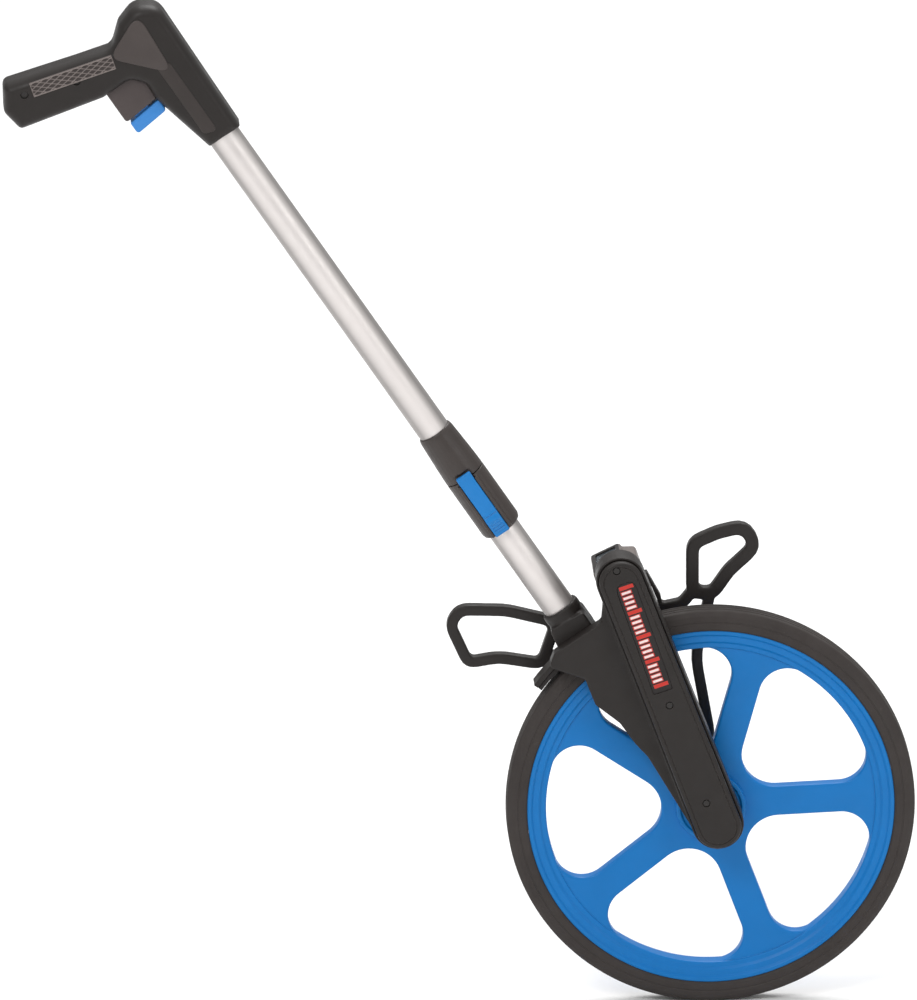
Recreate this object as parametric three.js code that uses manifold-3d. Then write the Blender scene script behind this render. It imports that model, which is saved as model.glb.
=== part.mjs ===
// Measuring wheel: a one-metre-circumference wheel on a fork, a belt-driven five-digit
// counter above it, a swing-out stand, and a folding pole with a pistol-grip handle.
// Millimetres. +X is the walking direction, +Y the user's left, +Z up. The origin is the
// point where the tyre touches the ground.
import * as THREE from 'three';
import Module from 'manifold-3d';

const wasm = await Module();
wasm.setup();

// ---- driving dimensions ------------------------------------------------------------
const GAP = 0.3; // clearance between pieces cut by, or turning inside, a neighbour

const WHEEL_R = 1000 / (2 * Math.PI); // one metre per turn
const TYRE_FACETS = 64;
const TYRE_HALF_WIDTH = 12.5;
const RIM_R = 143;
const RIM_HALF_WIDTH = 11;
const RING_INNER_R = 128;
const PLATE_HALF_WIDTH = 6;
const SPOKES = 5;
const SPOKE_WIDTH = 23.5;
const SPOKE_START = 2.5; // degrees
const HUB_R = 27;
const HUB_HALF_WIDTH = 13.5;
const BEARING_R = 11;
const BEARING_WIDTH = 7;
const AXLE_R = 4;

const ARM_LEAN = 18.9; // degrees from the vertical, backwards
const ARM_IN = 16.5; // half distance between the arms
const ARM_THICK = 8; // left arm
const CASE_OUT = 39.5; // outer face of the right arm's case
const COVER_OUT = 46; // outer face of its cover
const COVER_FOOT = [4, -5.5]; // centre of the cover's rounded foot
const COVER_FOOT_R = 18;
const COVER_HEAD = [-5.5, 206]; // centre of its rounded head, in the arm's frame
const COVER_HEAD_R = 17;
const WALL = 2.4;

const POLE_LEAN = 34; // degrees from the vertical, backwards
const POLE_FOOT = [-6.05, -4.09]; // point on the pole's axis nearest the axle
const TUBE_R = 12.7;
const TUBE_WALL = 1.5;
const SOCKET_R = 15.4;
const SOCKET_TOP = 200; // all these are distances along the pole
const COLLAR_BOTTOM = 278;
const FOLD_AT = 331;
const COLLAR_TOP = 374;
const COLLAR_R = 16.4;
const FOLD_PIN_OFFSET = 21; // hinge pin, left of the pole's axis
const HANDLE_HALF = 17;

const PULLEY_R = 10;
const PULLEY_Y = 25; // centre plane of the belt, right of the wheel
const COUNTER_AT = [-5.5, 196.5]; // counter shaft, in the arm's frame
const COUNTER_LEFT = 28; // left face of the counter case
const SHAFT_R = 3;
const DRUM_R = 12.5;
const DRUM_WIDTH = 6.6;
const DRUM_PITCH = 7.2;
const FIRST_DRUM_Y = -9;

const BRAKE_GAP = 3.5; // shoe to tyre, brake off
const BRAKE_PIN = [-74, 156];
const BRAKE_PIN_R = 2;
const WEB_BOLTS = [[-110, 135.6], [-96.7, 144.6]];
const WEB_BOLT_R = 1.6;

const STAND_IN = 29; // inner face of the stand
const STAND_OUT = 38;
const STAND_BAR = 8.6; // width of its moulded bars
const FRONT_LOOP_BAR = 10;
const STAND_PIVOT = [-5, 25];
const STAND_PIVOT_R = 4;

const TRIGGER_TRAVEL = 8;
const BUTTON_TRAVEL = 2;

// ---- colours ------------------------------------------------------------------------
const BLUE = { color: '#0b6bbf', roughness: 0.42, metalness: 0 };
const BLACK = { color: '#34302e', roughness: 0.55, metalness: 0 };
const GREY = { color: '#55504d', roughness: 0.6, metalness: 0 };
const RUBBER = { color: '#3a3735', roughness: 0.85, metalness: 0 };
const SILVER = { color: '#d9d4cf', roughness: 0.32, metalness: 0.9 };
const STEEL = { color: '#a9adb0', roughness: 0.3, metalness: 1 };
const IVORY = { color: '#e8e6df', roughness: 0.5, metalness: 0 };
const CLEAR = { color: '#20262b', roughness: 0.08, metalness: 0 };

// ---- frames --------------------------------------------------------------------------
const object = new THREE.Group();
object.name = 'measuring_wheel';
const rad = THREE.MathUtils.degToRad;

function frame(x, z, lean) {
  const group = new THREE.Group();
  group.position.set(x, 0, z + WHEEL_R);
  group.rotation.y = -rad(lean);
  object.add(group);
  return group;
}

const axleFrame = frame(0, 0, 0); // upright, centred on the axle
const armFrame = frame(0, 0, ARM_LEAN); // Z runs up the arm from the axle
const poleFrame = frame(...POLE_FOOT, POLE_LEAN); // Z runs up the pole

// A point of one frame written in another frame that shares the side view.
function moved([x, z], [fromX, fromZ, fromLean], [toX, toZ, toLean]) {
  const p = new THREE.Vector2(x, z).rotateAround(new THREE.Vector2(), rad(fromLean));
  p.x += fromX - toX;
  p.y += fromZ - toZ;
  p.rotateAround(new THREE.Vector2(), -rad(toLean));
  return [p.x, p.y];
}
const AXLE = [0, 0, 0];
const ARM = [0, 0, ARM_LEAN];
const POLE = [...POLE_FOOT, POLE_LEAN];

// ---- solids ---------------------------------------------------------------------------
function solid(geometry) {
  const position = geometry.getAttribute('position');
  const order = geometry.index ? Array.from(geometry.index.array) : [...Array(position.count).keys()];
  const seen = new Map();
  const points = [];
  const triangles = [];
  const remap = order.map((i) => {
    const p = [position.getX(i), position.getY(i), position.getZ(i)];
    const key = p.map((c) => Math.round(c * 1e4)).join();
    if (!seen.has(key)) {
      seen.set(key, points.length / 3);
      points.push(...p);
    }
    return seen.get(key);
  });
  for (let i = 0; i < remap.length; i += 3) {
    const [a, b, c] = remap.slice(i, i + 3);
    if (a !== b && b !== c && c !== a) {
      triangles.push(a, b, c);
    }
  }
  const mesh = new wasm.Mesh({
    numProp: 3,
    vertProperties: new Float32Array(points),
    triVerts: new Uint32Array(triangles),
  });
  return new wasm.Manifold(mesh);
}

const join = (first, ...rest) => rest.reduce((whole, piece) => whole.add(piece), first);
const cut = (first, ...rest) => rest.reduce((whole, piece) => whole.subtract(piece), first);

function add(parent, name, body, look) {
  const mesh = body.getMesh();
  const geometry = new THREE.BufferGeometry();
  geometry.setAttribute('position', new THREE.BufferAttribute(mesh.vertProperties, 3));
  geometry.setIndex(new THREE.BufferAttribute(mesh.triVerts, 1));
  const flat = geometry.toNonIndexed();
  flat.computeVertexNormals();
  const node = new THREE.Mesh(flat, new THREE.MeshStandardMaterial(look));
  node.name = name;
  parent.add(node);
  return node;
}

// A side-view outline, given as (x, z), made solid between two Y planes.
function slab(shape, y0, y1, curveSegments = 8) {
  const geometry = new THREE.ExtrudeGeometry(shape, { depth: y1 - y0, bevelEnabled: false, curveSegments });
  geometry.rotateX(Math.PI / 2);
  geometry.translate(0, y1, 0);
  return solid(geometry);
}

// A slab whose outer face (at y0) has a chamfered rim.
function chamferedSlab(shape, y0, y1, bevel, curveSegments = 8) {
  const geometry = new THREE.ExtrudeGeometry(shape, {
    depth: y1 - y0 - 2 * bevel,
    bevelThickness: bevel,
    bevelSize: bevel,
    bevelOffset: -bevel,
    bevelSegments: 2,
    curveSegments,
  });
  geometry.rotateX(Math.PI / 2);
  geometry.translate(0, y1 - bevel, 0);
  return solid(geometry);
}

function circle(x, z, r) {
  const shape = new THREE.Shape();
  shape.absarc(x, z, r, 0, 2 * Math.PI, false);
  return shape;
}

// Disc or pin along Y, with 2n sides.
const pinY = (x, z, r, y0, y1, n = 10) => slab(circle(x, z, r), y0, y1, n);

// Hole along Y that a pin of radius r turns in freely.
const boreY = (x, z, r, y0, y1, n = 8) => pinY(x, z, (r + 0.06) / Math.cos(Math.PI / (2 * n)), y0, y1, n);

function box(x0, x1, y0, y1, z0, z1) {
  const geometry = new THREE.BoxGeometry(x1 - x0, y1 - y0, z1 - z0);
  geometry.translate((x0 + x1) / 2, (y0 + y1) / 2, (z0 + z1) / 2);
  return solid(geometry);
}

// Round bar along Z.
function barZ(x, y, r, z0, z1, n = 24) {
  const geometry = new THREE.CylinderGeometry(r, r, z1 - z0, n, 1, false, Math.PI / n);
  geometry.rotateX(Math.PI / 2);
  geometry.translate(x, y, (z0 + z1) / 2);
  return solid(geometry);
}

// Round bar along X.
function barX(y, z, r, x0, x1, n = 20) {
  const geometry = new THREE.CylinderGeometry(r, r, x1 - x0, n);
  geometry.rotateZ(Math.PI / 2);
  geometry.translate((x0 + x1) / 2, y, z);
  return solid(geometry);
}

// A closed (radius, y) profile turned about the Y axis.
function turnedY(profile, n) {
  const points = profile.map(([r, y]) => new THREE.Vector2(r, y));
  points.push(points[0].clone());
  return solid(new THREE.LatheGeometry(points, n, Math.PI / n));
}

// A closed (radius, z) profile turned about the Z axis.
function turnedZ(profile, n) {
  const points = profile.map(([r, z]) => new THREE.Vector2(r, z));
  points.push(points[0].clone());
  const geometry = new THREE.LatheGeometry(points, n, Math.PI / n);
  geometry.rotateX(Math.PI / 2);
  return solid(geometry);
}

// Start, corner and end of the rounding at one corner [x, z, radius] of an outline.
function rounding(corners, i) {
  const count = corners.length;
  const [x, z, radius] = corners[i];
  const corner = new THREE.Vector2(x, z);
  const before = new THREE.Vector2(...corners[(i + count - 1) % count]).sub(corner);
  const after = new THREE.Vector2(...corners[(i + 1) % count]).sub(corner);
  const cosine = before.dot(after) / before.length() / after.length();
  const half = Math.acos(THREE.MathUtils.clamp(cosine, -1, 1)) / 2;
  const reach = Math.min(radius / Math.tan(half), before.length() / 2, after.length() / 2);
  const start = corner.clone().addScaledVector(before.normalize(), reach);
  const end = corner.clone().addScaledVector(after.normalize(), reach);
  return new THREE.QuadraticBezierCurve(start, corner, end);
}

// Outline through the given corners, each rounded by its own radius.
function rounded(corners, Kind = THREE.Shape) {
  const shape = new Kind();
  corners.forEach((corner, i) => {
    const bend = rounding(corners, i);
    if (i === 0) {
      shape.moveTo(bend.v0.x, bend.v0.y);
    } else {
      shape.lineTo(bend.v0.x, bend.v0.y);
    }
    if (bend.v0.distanceTo(bend.v2) > 0) {
      shape.quadraticCurveTo(bend.v1.x, bend.v1.y, bend.v2.x, bend.v2.y);
    }
  });
  shape.closePath();
  return shape;
}

// Solid through side-view outlines [y, corners], all with the same number of corners.
function loft(layers, segments = 3) {
  const rings = layers.map(([y, corners]) => {
    const points = corners.flatMap((corner, i) => rounding(corners, i).getPoints(segments));
    return points.map((p) => [p.x, y, p.y]);
  });
  const count = rings[0].length;
  const index = [];
  for (let k = 0; k + 1 < rings.length; k += 1) {
    for (let i = 0; i < count; i += 1) {
      const [a, b] = [k * count + i, k * count + ((i + 1) % count)];
      index.push(a, a + count, b, b, a + count, b + count);
    }
  }
  const cap = (ring, base, flip) => {
    const flatRing = ring.map(([x, , z]) => new THREE.Vector2(x, z));
    THREE.ShapeUtils.triangulateShape(flatRing, []).forEach(([a, b, c]) =>
      index.push(...(flip ? [base + a, base + c, base + b] : [base + a, base + b, base + c])));
  };
  cap(rings[0], 0, false);
  cap(rings.at(-1), (rings.length - 1) * count, true);
  const geometry = new THREE.BufferGeometry();
  geometry.setAttribute('position', new THREE.Float32BufferAttribute(rings.flat(2), 3));
  geometry.setIndex(index);
  return solid(geometry);
}

// Outline of a belt laid tightly round two circles.
function beltOutline(x0, z0, r0, x1, z1, r1) {
  const direction = Math.atan2(z1 - z0, x1 - x0);
  const spread = Math.acos((r0 - r1) / Math.hypot(x1 - x0, z1 - z0));
  const shape = new THREE.Shape();
  shape.absarc(x0, z0, r0, direction + spread, direction - spread + 2 * Math.PI, false);
  shape.absarc(x1, z1, r1, direction - spread, direction + spread, false);
  shape.closePath();
  return shape;
}

// Round bar swept along a path.
function swept(path, r, steps, sides = 8) {
  const section = new THREE.Shape();
  for (let i = 0; i < sides; i += 1) {
    const a = (2 * Math.PI * i) / sides;
    section[i ? 'lineTo' : 'moveTo'](r * Math.cos(a), r * Math.sin(a));
  }
  section.closePath();
  return solid(new THREE.ExtrudeGeometry(section, { steps, extrudePath: path, bevelEnabled: false }));
}

class Coil extends THREE.Curve {
  constructor(radius, from, to, turns) {
    super();
    Object.assign(this, { radius, from, to, turns });
  }

  getPoint(t) {
    const a = 2 * Math.PI * this.turns * t;
    return new THREE.Vector3(
      this.radius * Math.cos(a),
      this.radius * Math.sin(a),
      this.from + (this.to - this.from) * t,
    );
  }
}

// Pan-head screw along Y; its head is at y, facing away from the wheel.
function screwY(x, z, y, length, r, side) {
  const tip = y - side * length;
  const head = pinY(x, z, 2 * r, Math.min(y, y - side * 1.6), Math.max(y, y - side * 1.6), 6);
  return join(head, pinY(x, z, r, Math.min(y, tip), Math.max(y, tip), 4));
}

// ---- wheel ----------------------------------------------------------------------------
function spokeOpening(index) {
  const middle = rad(SPOKE_START + (360 / SPOKES) * (index + 0.5));
  const half = Math.PI / SPOKES;
  const tipR = 26;
  const cornerR = 22;
  const inset = SPOKE_WIDTH / 2;
  const tipX = (inset + tipR) / Math.sin(half);
  const cornerFrom = RING_INNER_R - cornerR;
  const cornerAngle = half - Math.asin((inset + cornerR) / cornerFrom);
  const cx = cornerFrom * Math.cos(cornerAngle);
  const cz = cornerFrom * Math.sin(cornerAngle);
  const arc = (x, z, r, a0, a1, steps) =>
    Array.from({ length: steps + 1 }, (_, i) => {
      const a = a0 + ((a1 - a0) * i) / steps;
      return new THREE.Vector2(x + r * Math.cos(a), z + r * Math.sin(a));
    });
  const points = [
    ...arc(0, 0, RING_INNER_R, -cornerAngle, cornerAngle, 3).slice(1, -1),
    ...arc(cx, cz, cornerR, cornerAngle, Math.PI / 2 + half, 6),
    ...arc(tipX, 0, tipR, Math.PI / 2 + half, (3 * Math.PI) / 2 - half, 6),
    ...arc(cx, -cz, cornerR, -Math.PI / 2 - half, -cornerAngle, 6),
  ];
  return new THREE.Path(points.map((p) => p.rotateAround(new THREE.Vector2(), middle)));
}

function wheelRim() {
  const plate = circle(0, 0, RING_INNER_R + 6);
  for (let i = 0; i < SPOKES; i += 1) {
    plate.holes.push(spokeOpening(i));
  }
  const half = [
    [RIM_R, 0],
    [RIM_R, RIM_HALF_WIDTH],
    [RIM_R - 3, RIM_HALF_WIDTH],
    [RIM_R - 4.5, RIM_HALF_WIDTH - 1.6],
    [RIM_R - 9, RIM_HALF_WIDTH - 1.6],
    [RIM_R - 11, RIM_HALF_WIDTH - 3.4],
    [RING_INNER_R, RIM_HALF_WIDTH - 3.4],
  ];
  const profile = [...half, ...half.slice(1).reverse().map(([r, y]) => [r, -y])];
  const ring = turnedY(profile, TYRE_FACETS);
  const hub = pinY(0, 0, HUB_R, -HUB_HALF_WIDTH, HUB_HALF_WIDTH, 20);
  const rim = join(slab(plate, -PLATE_HALF_WIDTH, PLATE_HALF_WIDTH, 8), ring, hub);
  return cut(
    rim,
    pinY(0, 0, BEARING_R - 2, -20, 20),
    pinY(0, 0, BEARING_R + 0.05, HUB_HALF_WIDTH - BEARING_WIDTH, 20),
    pinY(0, 0, BEARING_R + 0.05, -20, BEARING_WIDTH - HUB_HALF_WIDTH),
  );
}

function tyre() {
  const w = TYRE_HALF_WIDTH;
  const scale = 1 / Math.cos(Math.PI / TYRE_FACETS); // facet centres reach the true radius
  const out = WHEEL_R * scale;
  const half = [
    [out, w - 6],
    [out - 1.2, w - 3],
    [out - 4, w - 0.8],
    [out - 8, w],
    [RIM_R + 1.5, w],
    [RIM_R + 0.05, w - 1.4],
  ];
  return turnedY([...half, ...half.reverse().map(([r, y]) => [r, -y])], TYRE_FACETS);
}

function bearing(side) {
  const outer = HUB_HALF_WIDTH - 0.2;
  const inner = HUB_HALF_WIDTH - BEARING_WIDTH + 0.1;
  const y0 = side > 0 ? inner : -outer;
  const y1 = side > 0 ? outer : -inner;
  return cut(pinY(0, 0, BEARING_R, y0, y1), boreY(0, 0, AXLE_R, -20, 20));
}

function toothedPulley(x, z, y) {
  const teeth = 12;
  const outline = new THREE.Shape();
  for (let i = 0; i < 2 * teeth; i += 1) {
    const a = (Math.PI * i) / teeth;
    const r = i % 2 ? PULLEY_R - 1.1 : PULLEY_R - 0.3;
    outline[i ? 'lineTo' : 'moveTo'](x + r * Math.cos(a), z + r * Math.sin(a));
  }
  outline.closePath();
  const toothed = slab(outline, y - 3.4, y + 3.4);
  const flange = pinY(x, z, PULLEY_R + 1.6, y + 3.4, y + 4.2);
  return join(toothed, flange);
}

function drivePulley() {
  const sleeve = pinY(0, 0, 7.2, -PULLEY_Y, -HUB_HALF_WIDTH - 0.05);
  return cut(join(toothedPulley(0, 0, -PULLEY_Y), sleeve), boreY(0, 0, AXLE_R, -60, 0));
}

function axleNut() {
  const hexagon = pinY(0, 0, 7.4, ARM_IN + ARM_THICK + 0.05, ARM_IN + ARM_THICK + 4, 3);
  return cut(hexagon, pinY(0, 0, AXLE_R + 0.01, 0, 60, 8));
}

function axleSpacer() {
  const sleeve = pinY(0, 0, 6, HUB_HALF_WIDTH + 0.05, ARM_IN - 0.05);
  return cut(sleeve, pinY(0, 0, AXLE_R + 0.05, 0, 60, 8));
}

// ---- right arm: belt case, cover, belt ------------------------------------------------
const coverHead = moved(COVER_HEAD, ARM, AXLE);
const counterCentre = moved(COUNTER_AT, ARM, AXLE);
const coverScrews = [[-5.5, 13.8], moved([-2, 100], ARM, AXLE), moved([-5.5, 217], ARM, AXLE)];

const coverOutline = (grow) =>
  beltOutline(...COVER_FOOT, COVER_FOOT_R + grow, ...coverHead, COVER_HEAD_R + grow);
const coverSlab = (grow, y0, y1) => slab(coverOutline(grow), y0, y1, 8);

// The web reaches back over the tyre to carry the pole's socket.
const webOutline = () =>
  rounded([
    [-14, -14, 4], [-50, 47, 12], [-60, 58, 12], [-72, 75, 10], [-91, 90, 5], [-99, 111, 3], [-127, 121, 4],
    [-123, 132, 6], [-86, 157, 4], [-85, 172, 8], [-88, 192, 2], [-60, 190, 2], [-40, 120, 2], [0, 0, 2],
  ]);

function rightArmCase() {
  const posts = coverScrews.map((p) => pinY(...p, 2.5, -CASE_OUT, -ARM_IN - 1, 4));
  const shell = cut(
    join(coverSlab(2.2, -CASE_OUT, -ARM_IN), slab(webOutline(), -30, -ARM_IN, 3)),
    coverSlab(-WALL, -60, -ARM_IN - WALL),
    coverSlab(GAP, -60, -CASE_OUT + 1.2),
  );
  return cut(
    join(shell, ...posts),
    ...coverScrews.map((p) => pinY(...p, 1.25, -60, -CASE_OUT + 12, 4)),
    coverSlab(GAP, -60, -CASE_OUT + 1.2),
    pinY(0, 0, 7.7, -30, 0, 8),
    pinY(...counterCentre, 3.3, -30, 0, 8),
    pinY(...BRAKE_PIN, BRAKE_PIN_R + 0.05, -60, 0, 6),
    ...WEB_BOLTS.map((p) => pinY(...p, WEB_BOLT_R + 0.05, -27, 0, 4)),
  );
}

function labelOutline(grow) {
  const w = 8 + grow;
  const corners = [[-w, 112 - grow, 2], [w, 112 - grow, 2], [w, 206 + grow, 7], [-w, 206 + grow, 7]];
  return rounded(corners.map(([x, z, r]) => [...moved([x - 3, z], ARM, AXLE), r]));
}

function rightArmCover() {
  return cut(
    chamferedSlab(coverOutline(0), -COVER_OUT, -CASE_OUT + 1, 1.6),
    coverSlab(-WALL - 1.6, -COVER_OUT + 3.2, 0),
    slab(labelOutline(0), -60, -COVER_OUT + 1.4, 3),
    ...coverScrews.map((p) => pinY(...p, 3.3, -60, -COVER_OUT + 1.9, 6)),
    ...coverScrews.map((p) => pinY(...p, 1.65, -60, 0, 4)),
  );
}

const labelPlate = () => slab(labelOutline(-GAP), -COVER_OUT + 0.6, -COVER_OUT + 1.35, 3);

function driveBelt() {
  const loop = (r, half) =>
    slab(beltOutline(0, 0, r, ...counterCentre, r), -PULLEY_Y - half, -PULLEY_Y + half, 8);
  return cut(loop(PULLEY_R + 1.2, 3), loop(PULLEY_R, 4));
}

// ---- left arm, crown, brake -------------------------------------------------------------
// A broad leg from the axle, with one ear for the crown's bolts and one for the brake pin.
function leftArmBlank(grow) {
  const limb = (x0, z0, r0, x1, z1, r1) =>
    slab(beltOutline(x0, z0, r0 + grow, x1, z1, r1 + grow), ARM_IN - grow, ARM_IN + ARM_THICK + grow, 5);
  const [[boltX, boltZ], [innerX, innerZ]] = WEB_BOLTS;
  return join(
    limb(0, 0, 15, -92, 126, 14),
    limb(boltX, boltZ, 5.2, innerX, innerZ, 5.2),
    limb(...WEB_BOLTS[0], 5.2, -98, 118, 12),
    limb(...WEB_BOLTS[1], 5.2, -92, 126, 12),
    limb(...BRAKE_PIN, 8, -62, 116, 14),
  );
}

function leftArm() {
  return cut(
    leftArmBlank(0),
    pinY(0, 0, AXLE_R + 0.05, 0, 60, 8),
    pinY(...BRAKE_PIN, BRAKE_PIN_R + 0.05, 0, 60, 6),
    ...WEB_BOLTS.map((p) => pinY(...p, WEB_BOLT_R + 0.05, 0, 60, 4)),
    pinY(...STAND_PIVOT, STAND_PIVOT_R + 0.05, 0, 60, 6),
  );
}

function forkCrown() {
  const bridge = rounded([[-22, 150, 4], [18, 140, 4], [14.5, 168, 3], [14.5, 190, 4], [-15, 192, 4]]);
  const [axleX, axleZ] = moved([0, 0], AXLE, POLE);
  return cut(
    join(
      barZ(0, 0, SOCKET_R - 0.6, 160, SOCKET_TOP, 28),
      barZ(0, 0, SOCKET_R, SOCKET_TOP - 8, SOCKET_TOP - 1.5, 28),
      slab(bridge, -ARM_IN + 0.05, ARM_IN - 0.05, 3),
    ),
    pinY(axleX, axleZ, WHEEL_R + BRAKE_GAP + 9, -60, 60, 40),
    barZ(0, 0, TUBE_R + 0.05, 176, 260, 28),
    barZ(0, 0, 3, 100, 260, 8),
    ...WEB_BOLTS.map((p) => pinY(...moved(p, AXLE, POLE), WEB_BOLT_R + 0.1, -60, 60, 4)),
  );
}

// Curved bar that follows the tyre between two radii and two angles.
function tyreArc(r0, r1, a0, a1, y0, y1, n) {
  const shape = new THREE.Shape();
  shape.absarc(0, 0, r1, rad(a0), rad(a1), false);
  shape.absarc(0, 0, r0, rad(a1), rad(a0), true);
  shape.closePath();
  return slab(shape, y0, y1, n);
}

const SHOE_IN = WHEEL_R + BRAKE_GAP;
const SHOE_BACK = SHOE_IN + 3.5;

function brakeLever() {
  const eye = pinY(...BRAKE_PIN, 5, -9, 9);
  return cut(
    join(tyreArc(SHOE_BACK, SHOE_BACK + 4, 113, 144, -9, 9, 8), eye),
    pinY(0, 0, SHOE_BACK - 0.02, -60, 60, 40),
    boreY(...BRAKE_PIN, BRAKE_PIN_R, -60, 60, 6),
  );
}

const brakeShoe = () => tyreArc(SHOE_IN, SHOE_BACK - 0.1, 125, 144, -8, 8, 6);

// ---- counter ----------------------------------------------------------------------------
// Height of the counter case's sloping top, which the user reads from behind.
const counterTop = (n) => 212 + ((n + 25) * 2.2) / 18;
const WINDOW_FRONT = -3.7;

function counterCase() {
  const outer = rounded([
    [-25, 177, 1], [11, 175, 1], [11, 209, 4], [1.2, 212, 1], [0, counterTop(0), 1.2],
    [-25, counterTop(-25), 2],
  ]);
  const inner = rounded([[-22.6, 180, 1], [8.6, 180, 1], [8.6, 206, 4], [-2, 211.3, 2], [-22.6, 209.5, 2]]);
  return cut(
    slab(outer, -ARM_IN + 0.1, COUNTER_LEFT, 3),
    slab(inner, -ARM_IN + 2, COUNTER_LEFT - 2, 3),
    box(-21, WINDOW_FRONT + 0.2, -12.6, 23.4, 200, 230),
    pinY(...COUNTER_AT, 3.3, -60, 0, 8),
    boreY(...COUNTER_AT, SHAFT_R, 0, 60),
    pinY(...moved(BRAKE_PIN, AXLE, ARM), 6.5, -60, 60, 8),
    leftArmBlank(GAP).rotate([0, ARM_LEAN, 0]),
  );
}

function counterWindow() {
  const [rear, front] = [-20.8, WINDOW_FRONT];
  const corners = [[rear, -2], [front, -2], [front, -0.4], [rear, -0.4]];
  const outline = new THREE.Shape(corners.map(([n, drop]) => new THREE.Vector2(n, counterTop(n) + drop)));
  return slab(outline, -12.4, 23.2);
}

function counterShaft() {
  return pinY(...COUNTER_AT, SHAFT_R, -PULLEY_Y - 4.5, COUNTER_LEFT - 0.4, 8);
}

function counterPulley() {
  return cut(toothedPulley(...COUNTER_AT, -PULLEY_Y), pinY(...COUNTER_AT, SHAFT_R + 0.01, -60, 60, 8));
}

function drum(index) {
  const y = FIRST_DRUM_Y + index * DRUM_PITCH;
  const face = pinY(...COUNTER_AT, DRUM_R, y - DRUM_WIDTH / 2, y + DRUM_WIDTH / 2);
  const fixed = () => pinY(...COUNTER_AT, SHAFT_R + 0.01, -60, 60, 8);
  return cut(face, index === 0 ? fixed() : boreY(...COUNTER_AT, SHAFT_R, -60, 60));
}

// ---- stand ---------------------------------------------------------------------------------
// The corners [x, z, radius] of a line moved sideways by d, towards its left for d > 0.
function offset(corners, d, closed) {
  const count = corners.length;
  const normal = (i, k) => {
    const [a, b] = [corners[(i + count) % count], corners[(k + count) % count]];
    return new THREE.Vector2(a[1] - b[1], b[0] - a[0]).normalize();
  };
  return corners.map(([x, z, radius], i) => {
    const before = !closed && i === 0 ? normal(0, 1) : normal(i - 1, i);
    const after = !closed && i === count - 1 ? before : normal(i, i + 1);
    const miter = before.clone().add(after).normalize();
    const reach = d / miter.dot(before);
    const bend = Math.sign(before.cross(after)) * Math.sign(d); // > 0 on the inside of the corner
    return [x + miter.x * reach, z + miter.y * reach, Math.max(radius - bend * Math.abs(d), 0.8)];
  });
}

// Flat bar of constant width along a line with rounded corners.
function strand(corners) {
  const half = STAND_BAR / 2;
  const ends = (list) => list.map(([x, z, r], i) => [x, z, i === 0 || i === list.length - 1 ? 0 : r]);
  const left = ends(offset(corners, half, false));
  const right = ends(offset(corners, -half, false)).reverse();
  return slab(rounded([...left, ...right]), STAND_IN, STAND_OUT, 3);
}

// The same bar bent to a ring round an opening, whose corners are listed anticlockwise.
function ringStrand(opening, width) {
  const shape = rounded(offset(opening, -width, true));
  shape.holes.push(rounded(opening, THREE.Path));
  return slab(shape, STAND_IN, STAND_OUT, 4);
}

function stand() {
  const frontOpening = [
    [1, 166, 4], [12, 182, 40], [30.6, 199.4, 7.5], [25.2, 208.9, 7.5], [8.6, 205, 40],
    [-7.5, 198, 6], [-7.5, 166, 4],
  ];
  const rearOpening = [
    [-126.5, 136.5, 4], [-158, 144.5, 60], [-191.2, 145.5, 8.5], [-196.2, 137.5, 8.5], [-184.5, 111.5, 4],
    [-163, 115, 50], [-132.5, 109.8, 4], [-125, 132.5, 4],
  ];
  return cut(
    join(
      ringStrand(frontOpening, FRONT_LOOP_BAR),
      ringStrand(rearOpening, STAND_BAR),
      strand([[-8, 168, 0], [-20.5, 152.5, 9], [-38, 148.8, 0]]),
      tyreArc(150.5, 150.5 + STAND_BAR, 103, 143, STAND_IN, STAND_OUT, 7),
      strand([[2, 164, 0], [-1, 150, 20], [-10, 110, 60], [1, 48, 20], [-5, 25, 0]]),
      strand([[-112, 110, 0], [-46, 65, 60], [-5, 25, 0]]),
      strand([[-130, 107, 0], [-109, 114, 0]]),
      pinY(...STAND_PIVOT, 9.5, STAND_IN, STAND_OUT, 10),
    ),
    boreY(...STAND_PIVOT, STAND_PIVOT_R, -60, 60, 6),
  );
}

function standBolt() {
  const y0 = ARM_IN - 1.2;
  return join(
    pinY(...STAND_PIVOT, STAND_PIVOT_R, y0, STAND_OUT + 1, 6),
    pinY(...STAND_PIVOT, 7, STAND_OUT + 0.3, STAND_OUT + 3, 8),
    pinY(...STAND_PIVOT, 5.6, ARM_IN - 2.4, ARM_IN - 0.05, 6),
  );
}

function standCatch() {
  const hook = rounded([
    [11.3, 178, 1], [11.3, 188, 1], [13.2, 188, 1], [17, 166, 1.5], [16.2, 160, 1], [13.4, 160, 1],
    [12.6, 176, 0.5],
  ]);
  return slab(hook, COUNTER_LEFT - 8, COUNTER_LEFT + 0.7, 3);
}

// ---- folding joint of the pole ---------------------------------------------------------------
const knuckle = (r, x0, x1) => barX(FOLD_PIN_OFFSET, FOLD_AT, r, x0, x1);
const LATCH_PIN = [-15.2, 299];

function tube(from, to) {
  return turnedZ([[TUBE_R - TUBE_WALL, from], [TUBE_R, from], [TUBE_R, to], [TUBE_R - TUBE_WALL, to]], 28);
}

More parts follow.
